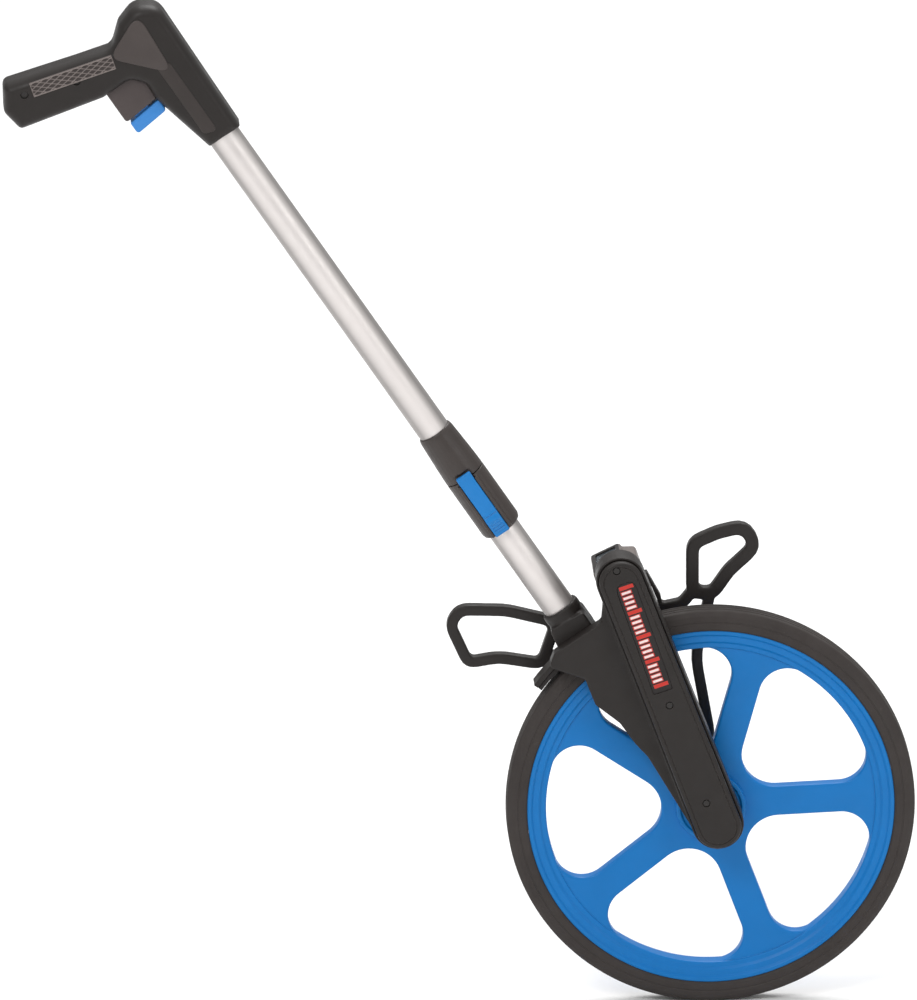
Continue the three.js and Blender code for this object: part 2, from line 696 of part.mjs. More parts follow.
function lowerFerrule() {
  const top = FOLD_AT - GAP;
  const body = turnedZ(
    [[0, COLLAR_BOTTOM], [COLLAR_R - 2.5, COLLAR_BOTTOM], [COLLAR_R - 0.8, COLLAR_BOTTOM + 1.4],
      [COLLAR_R, COLLAR_BOTTOM + 4], [COLLAR_R, top], [0, top]],
    28,
  );
  const lugs = join(
    join(knuckle(5.5, 5.3, 12), knuckle(5.5, -12, -5.3)),
    box(5.3, 12, 8, FOLD_PIN_OFFSET + 4, FOLD_AT - 24, FOLD_AT - GAP),
    box(-12, -5.3, 8, FOLD_PIN_OFFSET + 4, FOLD_AT - 24, FOLD_AT - GAP),
  );
  const slope = box(-30, 30, 0, 40, -40, 0).rotate([-42, 0, 0]).translate([0, 15.5, FOLD_AT - 22]);
  const rails = box(-9, 9, -18.6, -10, COLLAR_BOTTOM + 2, FOLD_AT - 2);
  return cut(
    join(body, cut(lugs, slope), rails),
    knuckle(6, -5.3, 5.3),
    knuckle(2.05, -30, 30),
    barZ(0, 0, TUBE_R + 0.05, 200, FOLD_AT - 8, 28),
    barZ(0, 0, 6, 200, 400, 10),
    box(-6.7, 6.7, -30, -13.4, COLLAR_BOTTOM - 5, FOLD_AT + 5),
    barX(...LATCH_PIN, 0.95, -8, 8, 8),
  );
}

function upperKnuckle() {
  const bottom = FOLD_AT + GAP;
  const body = turnedZ(
    [[0, bottom], [COLLAR_R, bottom], [COLLAR_R - 0.6, FOLD_AT + 16], [COLLAR_R - 1.9, COLLAR_TOP - 4],
      [COLLAR_R - 2.6, COLLAR_TOP - 1], [COLLAR_R - 3.8, COLLAR_TOP], [0, COLLAR_TOP]],
    28,
  );
  const lug = join(knuckle(5.5, -5, 5), box(-5, 5, 8, FOLD_PIN_OFFSET + 4, FOLD_AT, FOLD_AT + 24));
  const slope = box(-30, 30, 0, 40, 0, 40).rotate([42, 0, 0]).translate([0, 15.5, FOLD_AT + 22]);
  return cut(
    join(body, cut(lug, slope)),
    knuckle(6, 5, 30),
    knuckle(6, -30, -5),
    knuckle(2.05, -30, 30),
    barZ(0, 0, TUBE_R + 0.05, FOLD_AT + 8, 500, 28),
    barZ(0, 0, 6, 200, 500, 10),
    box(-7, 7, -30, -14.2, FOLD_AT - 5, FOLD_AT + 6),
  );
}

// Extruded along X from a (y, z) outline.
function slabX(corners, x0, x1) {
  const shape = rounded(corners);
  const options = { depth: x1 - x0, bevelEnabled: false, curveSegments: 3 };
  const geometry = new THREE.ExtrudeGeometry(shape, options);
  geometry.applyMatrix4(new THREE.Matrix4().set(0, 0, 1, x0, 1, 0, 0, 0, 0, 1, 0, 0, 0, 0, 0, 1));
  return solid(geometry);
}

function latchLever() {
  const [pinY0, pinZ] = LATCH_PIN;
  const plate = slabX(
    [[-19.4, COLLAR_BOTTOM + 1, 1.5], [-20.2, pinZ - 6, 2], [-18.8, pinZ, 2], [-19.2, FOLD_AT + 4.5, 1.5],
      [-15.6, FOLD_AT + 4.5, 0.8], [-16.6, FOLD_AT - 6, 2], [-16.4, pinZ, 2], [-17, COLLAR_BOTTOM + 1, 0.8]],
    -6.25, 6.25,
  );
  return cut(join(plate, barX(pinY0, pinZ, 1.75, -6.25, 6.25, 12)), barX(pinY0, pinZ, 1, -9, 9, 8));
}

// ---- handle -----------------------------------------------------------------------------------
const HANDLE_CORNERS = [
  [-13, 665, 2], [15.9, 665, 2], [18.5, 782, 16], [2, 792.5, 15], [-15.5, 786.5, 10], [-31, 773, 12],
  [-116, 797.5, 6], [-128, 778.5, 8], [-125, 760, 5], [-58, 744.5, 10], [-33, 745, 10], [-25, 735, 8],
  [-26, 722, 6],
];

const TRIGGER = { rear: -55, front: -24, bottom: 717.3, top: 762, half: 9.5 };
const BUTTON = { rear: -53, front: -24, bottom: 704.5, top: 715, half: 8.5 };
const MOUTH_RISE = 3.5; // of the trigger's and the button's lower faces, from rear to front
const GRIP_FLOOR = 748; // of the hollow behind the trigger
const NECK_FLOOR = 738; // of the hollow in the neck

function handleCavity() {
  const { rear, front, top, half } = TRIGGER;
  const reach = top + TRIGGER_TRAVEL + GAP;
  const rise = MOUTH_RISE + TRIGGER_TRAVEL + BUTTON_TRAVEL + GAP;
  return join(
    barZ(0, 0, TUBE_R + 0.05, 600, 716, 28),
    barZ(0, 0, 11, 600, 765, 12),
    box(rear - 5, -20, -half - 2, half + 2, GRIP_FLOOR, reach),
    box(-22, 0, -half - 2, half + 2, NECK_FLOOR, reach),
    box(rear - GAP, front + GAP, -half - GAP, half + GAP, 690, reach),
    box(BUTTON.rear - GAP, BUTTON.front + GAP, -half - GAP, half + GAP, 690, BUTTON.top + rise),
    slab(rounded([[-112, 790, 4], [-122, 779, 4], [-119, 766, 4], [-60, 751, 4], [-56, 772, 4]]), -12, 12, 3),
    pinY(-42, 772, 5, -5, 5),
  );
}

const handleScrews = [[-106, 783], [-2, 779], [-67, 769]];

function handleShell(sign) {
  // [share of the half thickness, inset of the outline]
  const rise = [[-1, 7], [-0.86, 2.6], [-0.4, 0], [0.4, 0], [0.86, 2.6], [1, 7]];
  const layer = ([share, inset]) => [share * HANDLE_HALF, offset(HANDLE_CORNERS, inset, true)];
  const whole = loft(rise.map(layer));
  const side = sign < 0 ? box(-200, 50, -50, -0.02, 600, 850) : box(-200, 50, 0.02, 50, 600, 850);
  const posts = handleScrews.map((p) => pinY(...p, 3.4, -HANDLE_HALF, HANDLE_HALF, 8).intersect(whole));
  const shell = join(cut(whole, handleCavity()), ...posts).intersect(side);
  if (sign > 0) {
    return cut(shell, ...handleScrews.map((p) => pinY(...p, 1.6, 0, 12, 4)));
  }
  const holes = handleScrews.map((p) => pinY(...p, 1.6, -60, 0, 4));
  const recesses = handleScrews.map((p) => pinY(...p, 3.2, -60, -HANDLE_HALF + 3.1, 6));
  return cut(shell, ...holes, ...recesses);
}

function trigger() {
  const { rear, front, bottom, top, half } = TRIGGER;
  const outline = rounded([
    [rear, bottom, 3], [front, bottom + MOUTH_RISE, 3], [front, top, 2], [rear, top, 2],
  ]);
  return cut(
    slab(outline, -half, half, 3),
    box(-47.3, -33.7, -5.3, 5.3, bottom - 5, bottom + 16),
    barZ(-40.5, 0, 4, bottom + 10, bottom + 28, 12),
  );
}

function resetButton() {
  const { rear, front, bottom, top, half } = BUTTON;
  const outline = rounded([
    [rear, bottom, 3], [front, bottom + MOUTH_RISE, 3], [front, top + MOUTH_RISE, 1.5], [rear, top, 1.5],
  ]);
  const bar = slab(outline, -half, half, 3);
  return join(bar, box(-47, -34, -5, 5, top - 1, TRIGGER.bottom + 12));
}

function cableUpper() {
  const path = new THREE.CatmullRomCurve3([
    new THREE.Vector3(-22, 0, 752), new THREE.Vector3(-10, 0, 748), new THREE.Vector3(0, 0, 728),
    new THREE.Vector3(0, 0, 690), new THREE.Vector3(0, 0, 380), new THREE.Vector3(0, 0, FOLD_AT + 4),
  ]);
  return swept(path, 2.2, 14, 6);
}

function triggerSpring() {
  const coil = new Coil(3.5, TRIGGER.top + 0.7, TRIGGER.top + TRIGGER_TRAVEL - 0.6, 3);
  return swept(coil, 0.45, 30, 4).translate([-42, 0, 0]);
}

function buttonSpring() {
  const coil = new Coil(2.8, TRIGGER.bottom + 12.7, TRIGGER.bottom + 27, 4);
  return swept(coil, 0.4, 40, 4).translate([-40.5, 0, 0]);
}

// ---- assembly -----------------------------------------------------------------------------------
add(axleFrame, 'wheel_rim', wheelRim(), BLUE);
add(axleFrame, 'tyre', tyre(), RUBBER);
add(axleFrame, 'right_bearing', bearing(-1), STEEL);
add(axleFrame, 'left_bearing', bearing(1), STEEL);
add(axleFrame, 'drive_pulley', drivePulley(), BLACK);
add(axleFrame, 'axle', pinY(0, 0, AXLE_R, -PULLEY_Y - 8, ARM_IN + 11.5, 8), STEEL);
add(axleFrame, 'axle_nut', axleNut(), STEEL);
add(axleFrame, 'axle_spacer', axleSpacer(), STEEL);
add(axleFrame, 'right_arm_case', rightArmCase(), BLACK);
add(axleFrame, 'right_arm_cover', rightArmCover(), BLACK);
add(axleFrame, 'label_plate', labelPlate(), IVORY);
coverScrews.forEach((p, i) =>
  add(axleFrame, `cover_screw_${i + 1}`, screwY(...p, -COVER_OUT + 0.2, 14, 1.2, -1), STEEL));
add(axleFrame, 'drive_belt', driveBelt(), RUBBER);
add(axleFrame, 'left_arm', leftArm(), BLACK);
add(poleFrame, 'fork_crown', forkCrown(), BLACK);
WEB_BOLTS.forEach((p, i) =>
  add(axleFrame, `crown_bolt_${i + 1}`, screwY(...p, ARM_IN + 9.7, 52, WEB_BOLT_R, 1), STEEL));
add(axleFrame, 'brake_pin', pinY(...BRAKE_PIN, BRAKE_PIN_R, -30, ARM_IN + 8, 6), STEEL);
add(axleFrame, 'brake_lever', brakeLever(), BLACK);
add(axleFrame, 'brake_shoe', brakeShoe(), RUBBER);
add(armFrame, 'counter_case', counterCase(), BLACK);
add(armFrame, 'counter_window', counterWindow(), CLEAR);
add(armFrame, 'counter_shaft', counterShaft(), STEEL);
add(armFrame, 'counter_pulley', counterPulley(), BLACK);
['tenths', 'metres', 'tens', 'hundreds', 'thousands'].forEach((name, i) =>
  add(armFrame, `drum_${name}`, drum(i), i === 0 ? BLUE : IVORY));
add(axleFrame, 'stand', stand(), BLACK);
add(axleFrame, 'stand_bolt', standBolt(), STEEL);
add(armFrame, 'stand_catch', standCatch(), BLACK);
add(poleFrame, 'lower_tube', tube(177, FOLD_AT - 9), SILVER);
add(poleFrame, 'lower_ferrule', lowerFerrule(), BLACK);
add(poleFrame, 'hinge_pin', knuckle(2, -12.5, 12.5), STEEL);
add(poleFrame, 'latch_pin', barX(...LATCH_PIN, 0.9, -7.8, 7.8, 8), STEEL);
add(poleFrame, 'latch_lever', latchLever(), BLUE);
add(poleFrame, 'upper_knuckle', upperKnuckle(), BLACK);
add(poleFrame, 'upper_tube', tube(FOLD_AT + 8.2, 715), SILVER);
add(poleFrame, 'brake_cable_lower', barZ(0, 0, 2.2, 173, FOLD_AT - 4, 8), BLACK);
add(poleFrame, 'brake_cable_upper', cableUpper(), BLACK);
add(poleFrame, 'handle_shell_right', handleShell(-1), BLACK);
add(poleFrame, 'handle_shell_left', handleShell(1), BLACK);
handleScrews.forEach((p, i) =>
  add(poleFrame, `handle_screw_${i + 1}`, screwY(...p, -HANDLE_HALF + 1.4, 22, 1.5, -1), STEEL));
add(poleFrame, 'trigger', trigger(), GREY);
add(poleFrame, 'reset_button', resetButton(), BLUE);
add(poleFrame, 'trigger_spring', triggerSpring(), STEEL);
add(poleFrame, 'button_spring', buttonSpring(), STEEL);

export default object;
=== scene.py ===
"""Looks of the measuring wheel: smooth visible pieces, their materials, the floor, light and camera."""
import math

import bmesh
import bpy
from mathutils import Matrix, Vector
from mathutils.geometry import tessellate_polygon


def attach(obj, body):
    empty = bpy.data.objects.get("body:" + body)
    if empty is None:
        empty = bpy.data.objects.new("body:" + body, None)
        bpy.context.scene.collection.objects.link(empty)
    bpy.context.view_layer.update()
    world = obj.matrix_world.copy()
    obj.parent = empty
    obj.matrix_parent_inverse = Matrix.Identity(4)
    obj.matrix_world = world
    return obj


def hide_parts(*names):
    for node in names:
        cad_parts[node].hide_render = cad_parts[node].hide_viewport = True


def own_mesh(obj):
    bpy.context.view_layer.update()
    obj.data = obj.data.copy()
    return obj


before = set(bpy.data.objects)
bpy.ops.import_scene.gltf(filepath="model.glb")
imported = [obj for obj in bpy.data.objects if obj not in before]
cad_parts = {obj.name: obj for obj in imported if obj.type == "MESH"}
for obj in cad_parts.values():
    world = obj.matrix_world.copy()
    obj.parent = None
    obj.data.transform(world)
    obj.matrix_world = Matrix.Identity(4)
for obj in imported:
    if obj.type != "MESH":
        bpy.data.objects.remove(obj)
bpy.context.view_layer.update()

# ---- dimensions, in millimetres, in the frames of the CAD part --------------------------
MM = 0.001
WHEEL_R = 1000 / (2 * math.pi)  # one metre per turn
ROUND = 224  # sides of the large turned pieces
TYRE_HALF_WIDTH = 12.5
RIM_R = 143
RIM_HALF_WIDTH = 11
RING_INNER_R = 128
WEB_HALF_WIDTH = 6
SPOKES = 5
SPOKE_WIDTH = 23.5
SPOKE_START = 2.5  # degrees
WEB_BORE_R = 19
SPOKE_TIP_R = 26  # rounding of each opening next to the hub
SPOKE_CORNER_R = 22  # rounding of its two outer corners
HUB_R = 27
HUB_HALF_WIDTH = 13.5
BEARING_R = 11
BEARING_WIDTH = 7
TREAD_GROOVE = 0.8

ARM_LEAN = 18.9  # degrees from the vertical, backwards
COVER_OUT = 46
COVER_IN = 38.5
COVER_FOOT = (4, -5.5)
COVER_FOOT_R = 18
COVER_HEAD = (-5.5, 206)  # in the arm's frame
COVER_HEAD_R = 17
COVER_WALL = 2.4
COVER_FACE = 3.2  # thickness over its hollow
LABEL_MIDDLE = -3
LABEL_HALF = 8
LABEL_BOTTOM = 112
LABEL_TOP = 206
LABEL_DEPTH = 1.4
TICKS = 21
TICK_PITCH = 4.2

POLE_LEAN = 34
POLE_FOOT = (-6.05, -4.09)
TUBE_R = 12.7
TUBE_WALL = 1.5
SOCKET_FLOOR = 177  # this and the next three are distances along the pole
COLLAR_BOTTOM = 278
FOLD_AT = 331
UPPER_TUBE_TOP = 715
LATCH_PIN = (-15.2, 299)  # (y, z) in the pole's frame
LATCH_HALF = 6.25
HANDLE_HALF = 17
HANDLE_CORNERS = [
    (-13, 665, 2), (15.9, 665, 2), (18.5, 782, 16), (2, 792.5, 15), (-15.5, 786.5, 10), (-31, 773, 12),
    (-116, 797.5, 6), (-128, 778.5, 8), (-125, 760, 5), (-58, 744.5, 10), (-33, 745, 10), (-25, 735, 8),
    (-26, 722, 6),
]
HANDLE_SCREWS = [(-106, 783), (-2, 779), (-67, 769)]
HANDLE_GAP = 0.02  # from the parting plane to each shell
TRIGGER = {"rear": -55, "front": -24, "bottom": 717.3, "top": 762, "half": 9.5, "travel": 8}
BUTTON = {"rear": -53, "front": -24, "bottom": 704.5, "top": 715, "half": 8.5, "travel": 2}
STEM = {"rear": -47, "front": -34, "half": 5}  # of the button, up into the trigger
STEM_X = -40.5  # middle of the stem and of its spring
MOUTH_RISE = 3.5  # of the trigger's and the button's lower faces, from rear to front
CLEAR = 0.3  # room round the trigger, the button and its stem
GRIP_FLOOR = 748  # of the hollow behind the trigger
NECK_FLOOR = 738  # of the hollow in the neck
CABLE_ROOM_R = 11
CABLE_ROOM = (700, 765)
# Raised flat facet on each side of the handle; its lighter colour is a painted highlight where the flat
# catches the light.
FACET = [(-36, 769.5, 7), (-1.5, 731.5, 6), (2.4, 788, 8)]
# Low raised strip down the neck on each side, coloured lighter as a painted sheen in place of the
# highlight along the rounded neck.
NECK_SHEEN_STRIP = [(-10.2, 678, 4), (0.8, 674, 4), (0.8, 740, 4), (-10.2, 748, 4)]
GRIP_BAND = [(-99.5, 783), (-34.5, 765.7)]  # ends of the ribbed band's middle line
GRIP_BAND_HALF = 6

COUNTER_AT = (-5.5, 196.5)  # in the arm's frame
COUNTER_REAR = -25
COUNTER_REAR_TOP = 212
COUNTER_RISE = 2.2  # of the case's top over a run of COUNTER_RUN, towards the front
COUNTER_RUN = 18
SHAFT_R = 3
DRUM_R = 12.5
DRUM_WIDTH = 6.6
DRUM_PITCH = 7.2
FIRST_DRUM_Y = -9
DRUMS = ["tenths", "metres", "tens", "hundreds", "thousands"]
DIGIT_SIZE = 7.4
DIGIT_RISE = 0.12
READING_ANGLE = -38  # degrees from the arm's line; digits are read from behind

# ---- viewpoint, in degrees and metres --------------------------------------------------------
CAMERA_AZIMUTH = -2.7
CAMERA_ELEVATION = 17.1
CAMERA_AIM = (-0.1957, 0.2352)  # to the right of the axle and above it, across the view
VIEW_HEIGHT = 0.7752 * 1.003  # of what the camera sees at the wheel


def upright(x, z, lean):
    """Matrix from millimetres in a leaning side-view frame to metres in the row frame."""
    place = Matrix.Translation(Vector((x, 0, z + WHEEL_R)) * MM)
    return place @ Matrix.Rotation(-math.radians(lean), 4, "Y") @ Matrix.Scale(MM, 4)


AXLE = upright(0, 0, 0)
ARM = upright(0, 0, ARM_LEAN)
POLE = upright(*POLE_FOOT, POLE_LEAN)


def arm_to_axle(x, z):
    """A side-view point of the arm's frame, written in the axle's frame."""
    lean = math.radians(ARM_LEAN)
    return (x * math.cos(lean) - z * math.sin(lean), x * math.sin(lean) + z * math.cos(lean))


# ---- outlines ---------------------------------------------------------------------------
def rounded(corners, steps=6):
    """Closed outline through (x, z, radius) corners."""
    points = []
    count = len(corners)
    for i, (x, z, radius) in enumerate(corners):
        corner = Vector((x, z))
        before = Vector(corners[i - 1][:2]) - corner
        after = Vector(corners[(i + 1) % count][:2]) - corner
        half = before.angle(after) / 2
        reach = min(radius / math.tan(half), before.length / 2, after.length / 2)
        start = corner + before.normalized() * reach
        end = corner + after.normalized() * reach
        for k in range(steps + 1):
            t = k / steps
            points.append(tuple(start * (1 - t) ** 2 + corner * (2 * t * (1 - t)) + end * t ** 2))
    return points


def offset(corners, d):
    """The corners of an anticlockwise outline, moved inwards by d."""
    count = len(corners)

    def normal(a, b):
        return Vector((a[1] - b[1], b[0] - a[0])).normalized()

    moved = []
    for i, (x, z, radius) in enumerate(corners):
        before = normal(corners[i - 1], corners[i])
        after = normal(corners[i], corners[(i + 1) % count])
        miter = (before + after).normalized()
        reach = d / miter.dot(before)
        turn = before.x * after.y - before.y * after.x
        bend = math.copysign(1, turn) * math.copysign(1, d)
        moved.append((x + miter.x * reach, z + miter.y * reach, max(radius - bend * abs(d), 0.8)))
    return moved


def arc(x, z, r, start, end, steps):
    """Points on a circle from one angle to another, in radians."""
    angles = [start + (end - start) * k / steps for k in range(steps + 1)]
    return [(x + r * math.cos(a), z + r * math.sin(a)) for a in angles]


def circle(x, z, r, sides=64):
    return arc(x, z, r, 0, 2 * math.pi, sides)[:-1]


def belt_outline(foot, foot_r, head, head_r, steps=28):
    """Outline of a belt laid tightly round two circles."""
    dx, dz = head[0] - foot[0], head[1] - foot[1]
    direction = math.atan2(dz, dx)
    spread = math.acos((foot_r - head_r) / math.hypot(dx, dz))
    full = 2 * math.pi
    return [
        *arc(*foot, foot_r, direction + spread, direction - spread + full, steps),
        *arc(*head, head_r, direction - spread, direction + spread, steps),
    ]


# ---- meshes -----------------------------------------------------------------------------
def lofted(layers):
    """Closed shell through side-view layers (y, [outline, hole, ...]) with matching points."""
    points = []
    faces = []
    starts = []
    for y, loops in layers:
        row = []
        for loop in loops:
            row.append(len(points))
            points.extend((x, y, z) for x, z in loop)
        starts.append(row)
    for k in range(len(layers) - 1):
        for j, loop in enumerate(layers[k][1]):
            low, high = starts[k][j], starts[k + 1][j]
            for i in range(len(loop)):
                n = (i + 1) % len(loop)
                faces.append((low + i, low + n, high + n, high + i))
    for k in (0, len(layers) - 1):
        flat = [[Vector((x, z, 0)) for x, z in loop] for loop in layers[k][1]]
        base = starts[k][0]
        faces.extend(tuple(base + i for i in triangle) for triangle in tessellate_polygon(flat))
    return points, faces


def plate(loops_at, y0, y1, bevel, steps=4):
    """Flat piece with rounded rims; loops_at(inset) gives its outline and holes, that far inside it."""
    layers = []
    for k in range(steps + 1):
        a = math.pi / 2 * k / steps
        layers.append((bevel * (1 - math.cos(a)), loops_at(bevel * (1 - math.sin(a)))))
    lower = [(y0 + rise, loops) for rise, loops in layers]
    upper = [(y1 - rise, loops) for rise, loops in reversed(layers)]
    return lofted(lower + upper)


def turned(profile, segments):
    """A closed (radius, y) profile turned about the Y axis."""
    points = []
    faces = []
    count = len(profile)
    for s in range(segments):
        a = 2 * math.pi * s / segments
        points.extend((r * math.cos(a), y, r * math.sin(a)) for r, y in profile)
    for s in range(segments):
        here, there = s * count, (s + 1) % segments * count
        for i in range(count):
            n = (i + 1) % count
            faces.append((here + i, here + n, there + n, there + i))
    return points, faces


def along_z(data, x=0):
    """A turned shell, its Y axis laid along Z at the given x."""
    points, faces = data
    return [(x + px, -pz, py) for px, py, pz in points], faces


def along_x(data):
    """A plate whose outline was given as (y, z), its thickness laid along X."""
    points, faces = data
    return [(thickness, side, rise) for side, thickness, rise in points], faces


def merged(parts):
    """Several shells as one set of points and faces."""
    points = []
    faces = []
    for part_points, part_faces in parts:
        base = len(points)
        points.extend(part_points)
        faces.extend(tuple(base + i for i in face) for face in part_faces)
    return points, faces


def box(x0, x1, y0, y1, z0, z1):
    """Square-edged block between two corners."""
    return lofted([(y, [[(x0, z0), (x1, z0), (x1, z1), (x0, z1)]]) for y in (y0, y1)])


def shaft(x, z, r, y0, y1, sides=48):
    """Round bar or hole along Y."""
    return lofted([(y, [circle(x, z, r, sides)]) for y in (y0, y1)])


def pin_x(y, z, r, half, sides=24):
    """Round bar or hole along X, as long on either side of the middle plane."""
    return along_x(lofted([(x, [circle(y, z, r, sides)]) for x in (-half, half)]))


def bar_z(r, z0, z1, x=0, sides=32):
    """Round bar or hole along Z."""
    return along_z(turned([(0.001, z0), (r, z0), (r, z1), (0.001, z1)], sides), x)


def shape(name, data, place=AXLE):
    """Object made from points and faces given in a frame's millimetres."""
    points, faces = data
    mesh = bpy.data.meshes.new(name)
    mesh.from_pydata([place @ Vector(p) for p in points], [], faces)
    joined = bmesh.new()
    joined.from_mesh(mesh)
    bmesh.ops.remove_doubles(joined, verts=joined.verts, dist=1e-6)
    bmesh.ops.recalc_face_normals(joined, faces=joined.faces)
    joined.to_mesh(mesh)
    joined.free()
    obj = bpy.data.objects.new(name, mesh)
    bpy.context.scene.collection.objects.link(obj)
    return obj


def settle(obj):
    """Applies an object's modifiers to its mesh."""
    graph = bpy.context.evaluated_depsgraph_get()
    mesh = bpy.data.meshes.new_from_object(obj.evaluated_get(graph))
    obj.modifiers.clear()
    obj.data = mesh


def combine(obj, others, operation):
    """Joins other objects to one, or cuts them out of it, and removes them."""
    for other in others:
        modifier = obj.modifiers.new("combine", "BOOLEAN")
        modifier.operation = operation
        modifier.solver = "EXACT"
        modifier.object = other
        settle(obj)
        bpy.data.objects.remove(other)
    return obj


def fuse(obj, *parts, place=AXLE):
    return combine(obj, [shape("part", data, place) for data in parts], "UNION")


def carve(obj, *parts, place=AXLE):
    return combine(obj, [shape("part", data, place) for data in parts], "DIFFERENCE")


def melted(name, node, voxel, passes):
    """The CAD node with its edges and inner corners softened, as moulding leaves them."""
    obj = bpy.data.objects.new(name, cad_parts[node].data.copy())
    bpy.context.scene.collection.objects.link(obj)
    remesh = obj.modifiers.new("remesh", "REMESH")
    remesh.mode = "VOXEL"
    remesh.voxel_size = voxel * MM
    smooth = obj.modifiers.new("smooth", "SMOOTH")
    smooth.factor = 0.5
    smooth.iterations = passes
    settle(obj)
    return obj


def finish(obj, body, look, nodes=(), sharp=38):
    """Smooth shading, material, body and the CAD nodes that the piece stands for."""
    obj.data.materials.clear()
    obj.data.materials.append(look)
    obj.data.shade_smooth()
    obj.data.set_sharp_from_angle(angle=math.radians(sharp))
    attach(obj, body)
    if nodes:
        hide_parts(*nodes)
    return obj


# ---- materials --------------------------------------------------------------------------
BLOTCH_SIZE = 34  # of slow changes in colour, in millimetres
SMEAR_SIZE = 11  # of changes in roughness


def colour(red, green, blue):
    """Linear colour from 0-255 display values."""
    def linear(value):
        share = value / 255
        return share / 12.92 if share < 0.04045 else ((share + 0.055) / 1.055) ** 2.4

    return (linear(red), linear(green), linear(blue), 1)


def scaled(tint, share):
    """A colour made lighter or darker."""
    return (*[min(channel * share, 1) for channel in tint[:3]], 1)


class Look:
    """A node material built up around one Principled shader."""

    def __init__(self, name):
        self.material = bpy.data.materials.new(name)
        self.material.use_nodes = True
        self.tree = self.material.node_tree
        self.shader = self.tree.nodes["Principled BSDF"]

    def node(self, kind, settings=None, **inputs):
        made = self.tree.nodes.new("ShaderNode" + kind)
        for key, value in (settings or {}).items():
            setattr(made, key, value)
        for key, value in inputs.items():
            self.feed(made.inputs[int(key[1:]) if key[0] == "i" and key[1:].isdigit() else key], value)
        return made

    def feed(self, socket, value):
        if isinstance(value, bpy.types.NodeSocket):
            self.tree.links.new(value, socket)
        else:
            socket.default_value = value

    def noise(self, vector, size, detail=3.0, rough=0.55):
        """Noise whose features are about size millimetres across."""
        made = self.node("TexNoise", Vector=vector, Scale=1 / (size * MM), Detail=detail, Roughness=rough)
        return made.outputs["Fac"]

    def span(self, value, low, high, to_low=0.0, to_high=1.0):
        """The value, spread from one range to another and kept within it."""
        made = self.node("MapRange", i0=value, i1=low, i2=high, i3=to_low, i4=to_high)
        return made.outputs[0]

    def times(self, a, b):
        return self.node("Math", {"operation": "MULTIPLY"}, i0=a, i1=b).outputs[0]

    def mix(self, share, a, b):
        made = self.node("Mix", {"data_type": "RGBA"})
        self.feed(made.inputs["Factor"], share)
        self.feed(made.inputs[6], a)
        self.feed(made.inputs[7], b)
        return made.outputs[2]

    def edges(self, radius):
        """(share that is 1 on convex rims, softened normal)"""
        soft = self.node("Bevel", {"samples": 4}, Radius=radius * MM).outputs[0]
        true = self.node("NewGeometry").outputs["Normal"]
        alike = self.node("VectorMath", {"operation": "DOT_PRODUCT"}, i0=soft, i1=true).outputs["Value"]
        return self.span(alike, 0.995, 0.86), soft


def worked(name, tint, roughness, grain, depth, worn, variation=0.07, wear=0.5, metal=0.0, stretch=None,
           rim=0.6, scratch=0.0, shine=0.3, relief=None, painted_edge_shade=None):
    """Material with grain, blotches and rubbed rims.

    stretch is the lean and the squeeze of a brushed direction, relief the heights from the middle
    plane between which raised ribs turn to the worn colour, and painted_edge_shade the share of its
    brightness that a surface keeps where it faces away from the viewer, as painted shade on its edges.
    """
    look = Look(name)
    place = look.node("TexCoord").outputs["Object"]
    if stretch:
        lean, squeeze = stretch
        turned_place = look.node("Mapping", Vector=place, Rotation=(0, math.radians(lean), 0))
        brushed = look.node("Mapping", Vector=turned_place.outputs[0], Scale=(1, 1, squeeze)).outputs[0]
    else:
        brushed = place
    blotch = look.noise(place, BLOTCH_SIZE)
    fine = look.noise(brushed, grain, 4.0, 0.65)
    speck = look.noise(place, grain * 4, 2.0)
    rims, soft = look.edges(rim)
    base = look.mix(look.span(blotch, 0.3, 0.7), scaled(tint, 1 - variation), scaled(tint, 1 + variation))
    base = look.mix(look.span(fine, 0.35, 0.75, 0, 0.35), base, scaled(tint, 1 + 2.2 * variation))
    rubbed = look.times(rims, look.span(speck, 0.35, 0.65, 0.25 * wear, wear))
    base = look.mix(rubbed, base, worn)
    smear = look.noise(place, SMEAR_SIZE)
    rough = look.span(smear, 0.3, 0.7, roughness - 0.06, roughness + 0.08)
    if relief:
        side = look.node("SeparateXYZ", Vector=place).outputs["Y"]
        height = look.node("Math", {"operation": "ABSOLUTE"}, i0=side).outputs[0]
        base = look.mix(look.span(height, relief[0] * MM, relief[1] * MM, 0, 0.8), base, worn)
    # Painted shade: the base colour darkens where the surface turns away from the viewer, in place of
    # darker reflections at its edges.
    if painted_edge_shade:
        away = look.node("LayerWeight", Blend=0.5).outputs["Facing"]
        base = look.mix(look.span(away, 0.05, 0.42), base, scaled(tint, painted_edge_shade))
    if scratch:
        askew = look.node("Mapping", Vector=place, Scale=(1, 9, 1.4), Rotation=(0.5, 0.9, 0.3)).outputs[0]
        lines = look.node("TexNoise", Vector=askew, Scale=260.0, Detail=2.0).outputs["Fac"]
        base = look.mix(look.span(lines, 0.68, 0.76, 0, scratch), base, worn)
    bump = look.node("Bump", Strength=1.0, Distance=depth * MM, Height=fine, Normal=soft)
    look.feed(look.shader.inputs["Base Color"], base)
    look.feed(look.shader.inputs["Roughness"], rough)
    look.feed(look.shader.inputs["Normal"], bump.outputs[0])
    look.shader.inputs["Metallic"].default_value = metal
    look.shader.inputs["Specular IOR Level"].default_value = shine
    return look.material


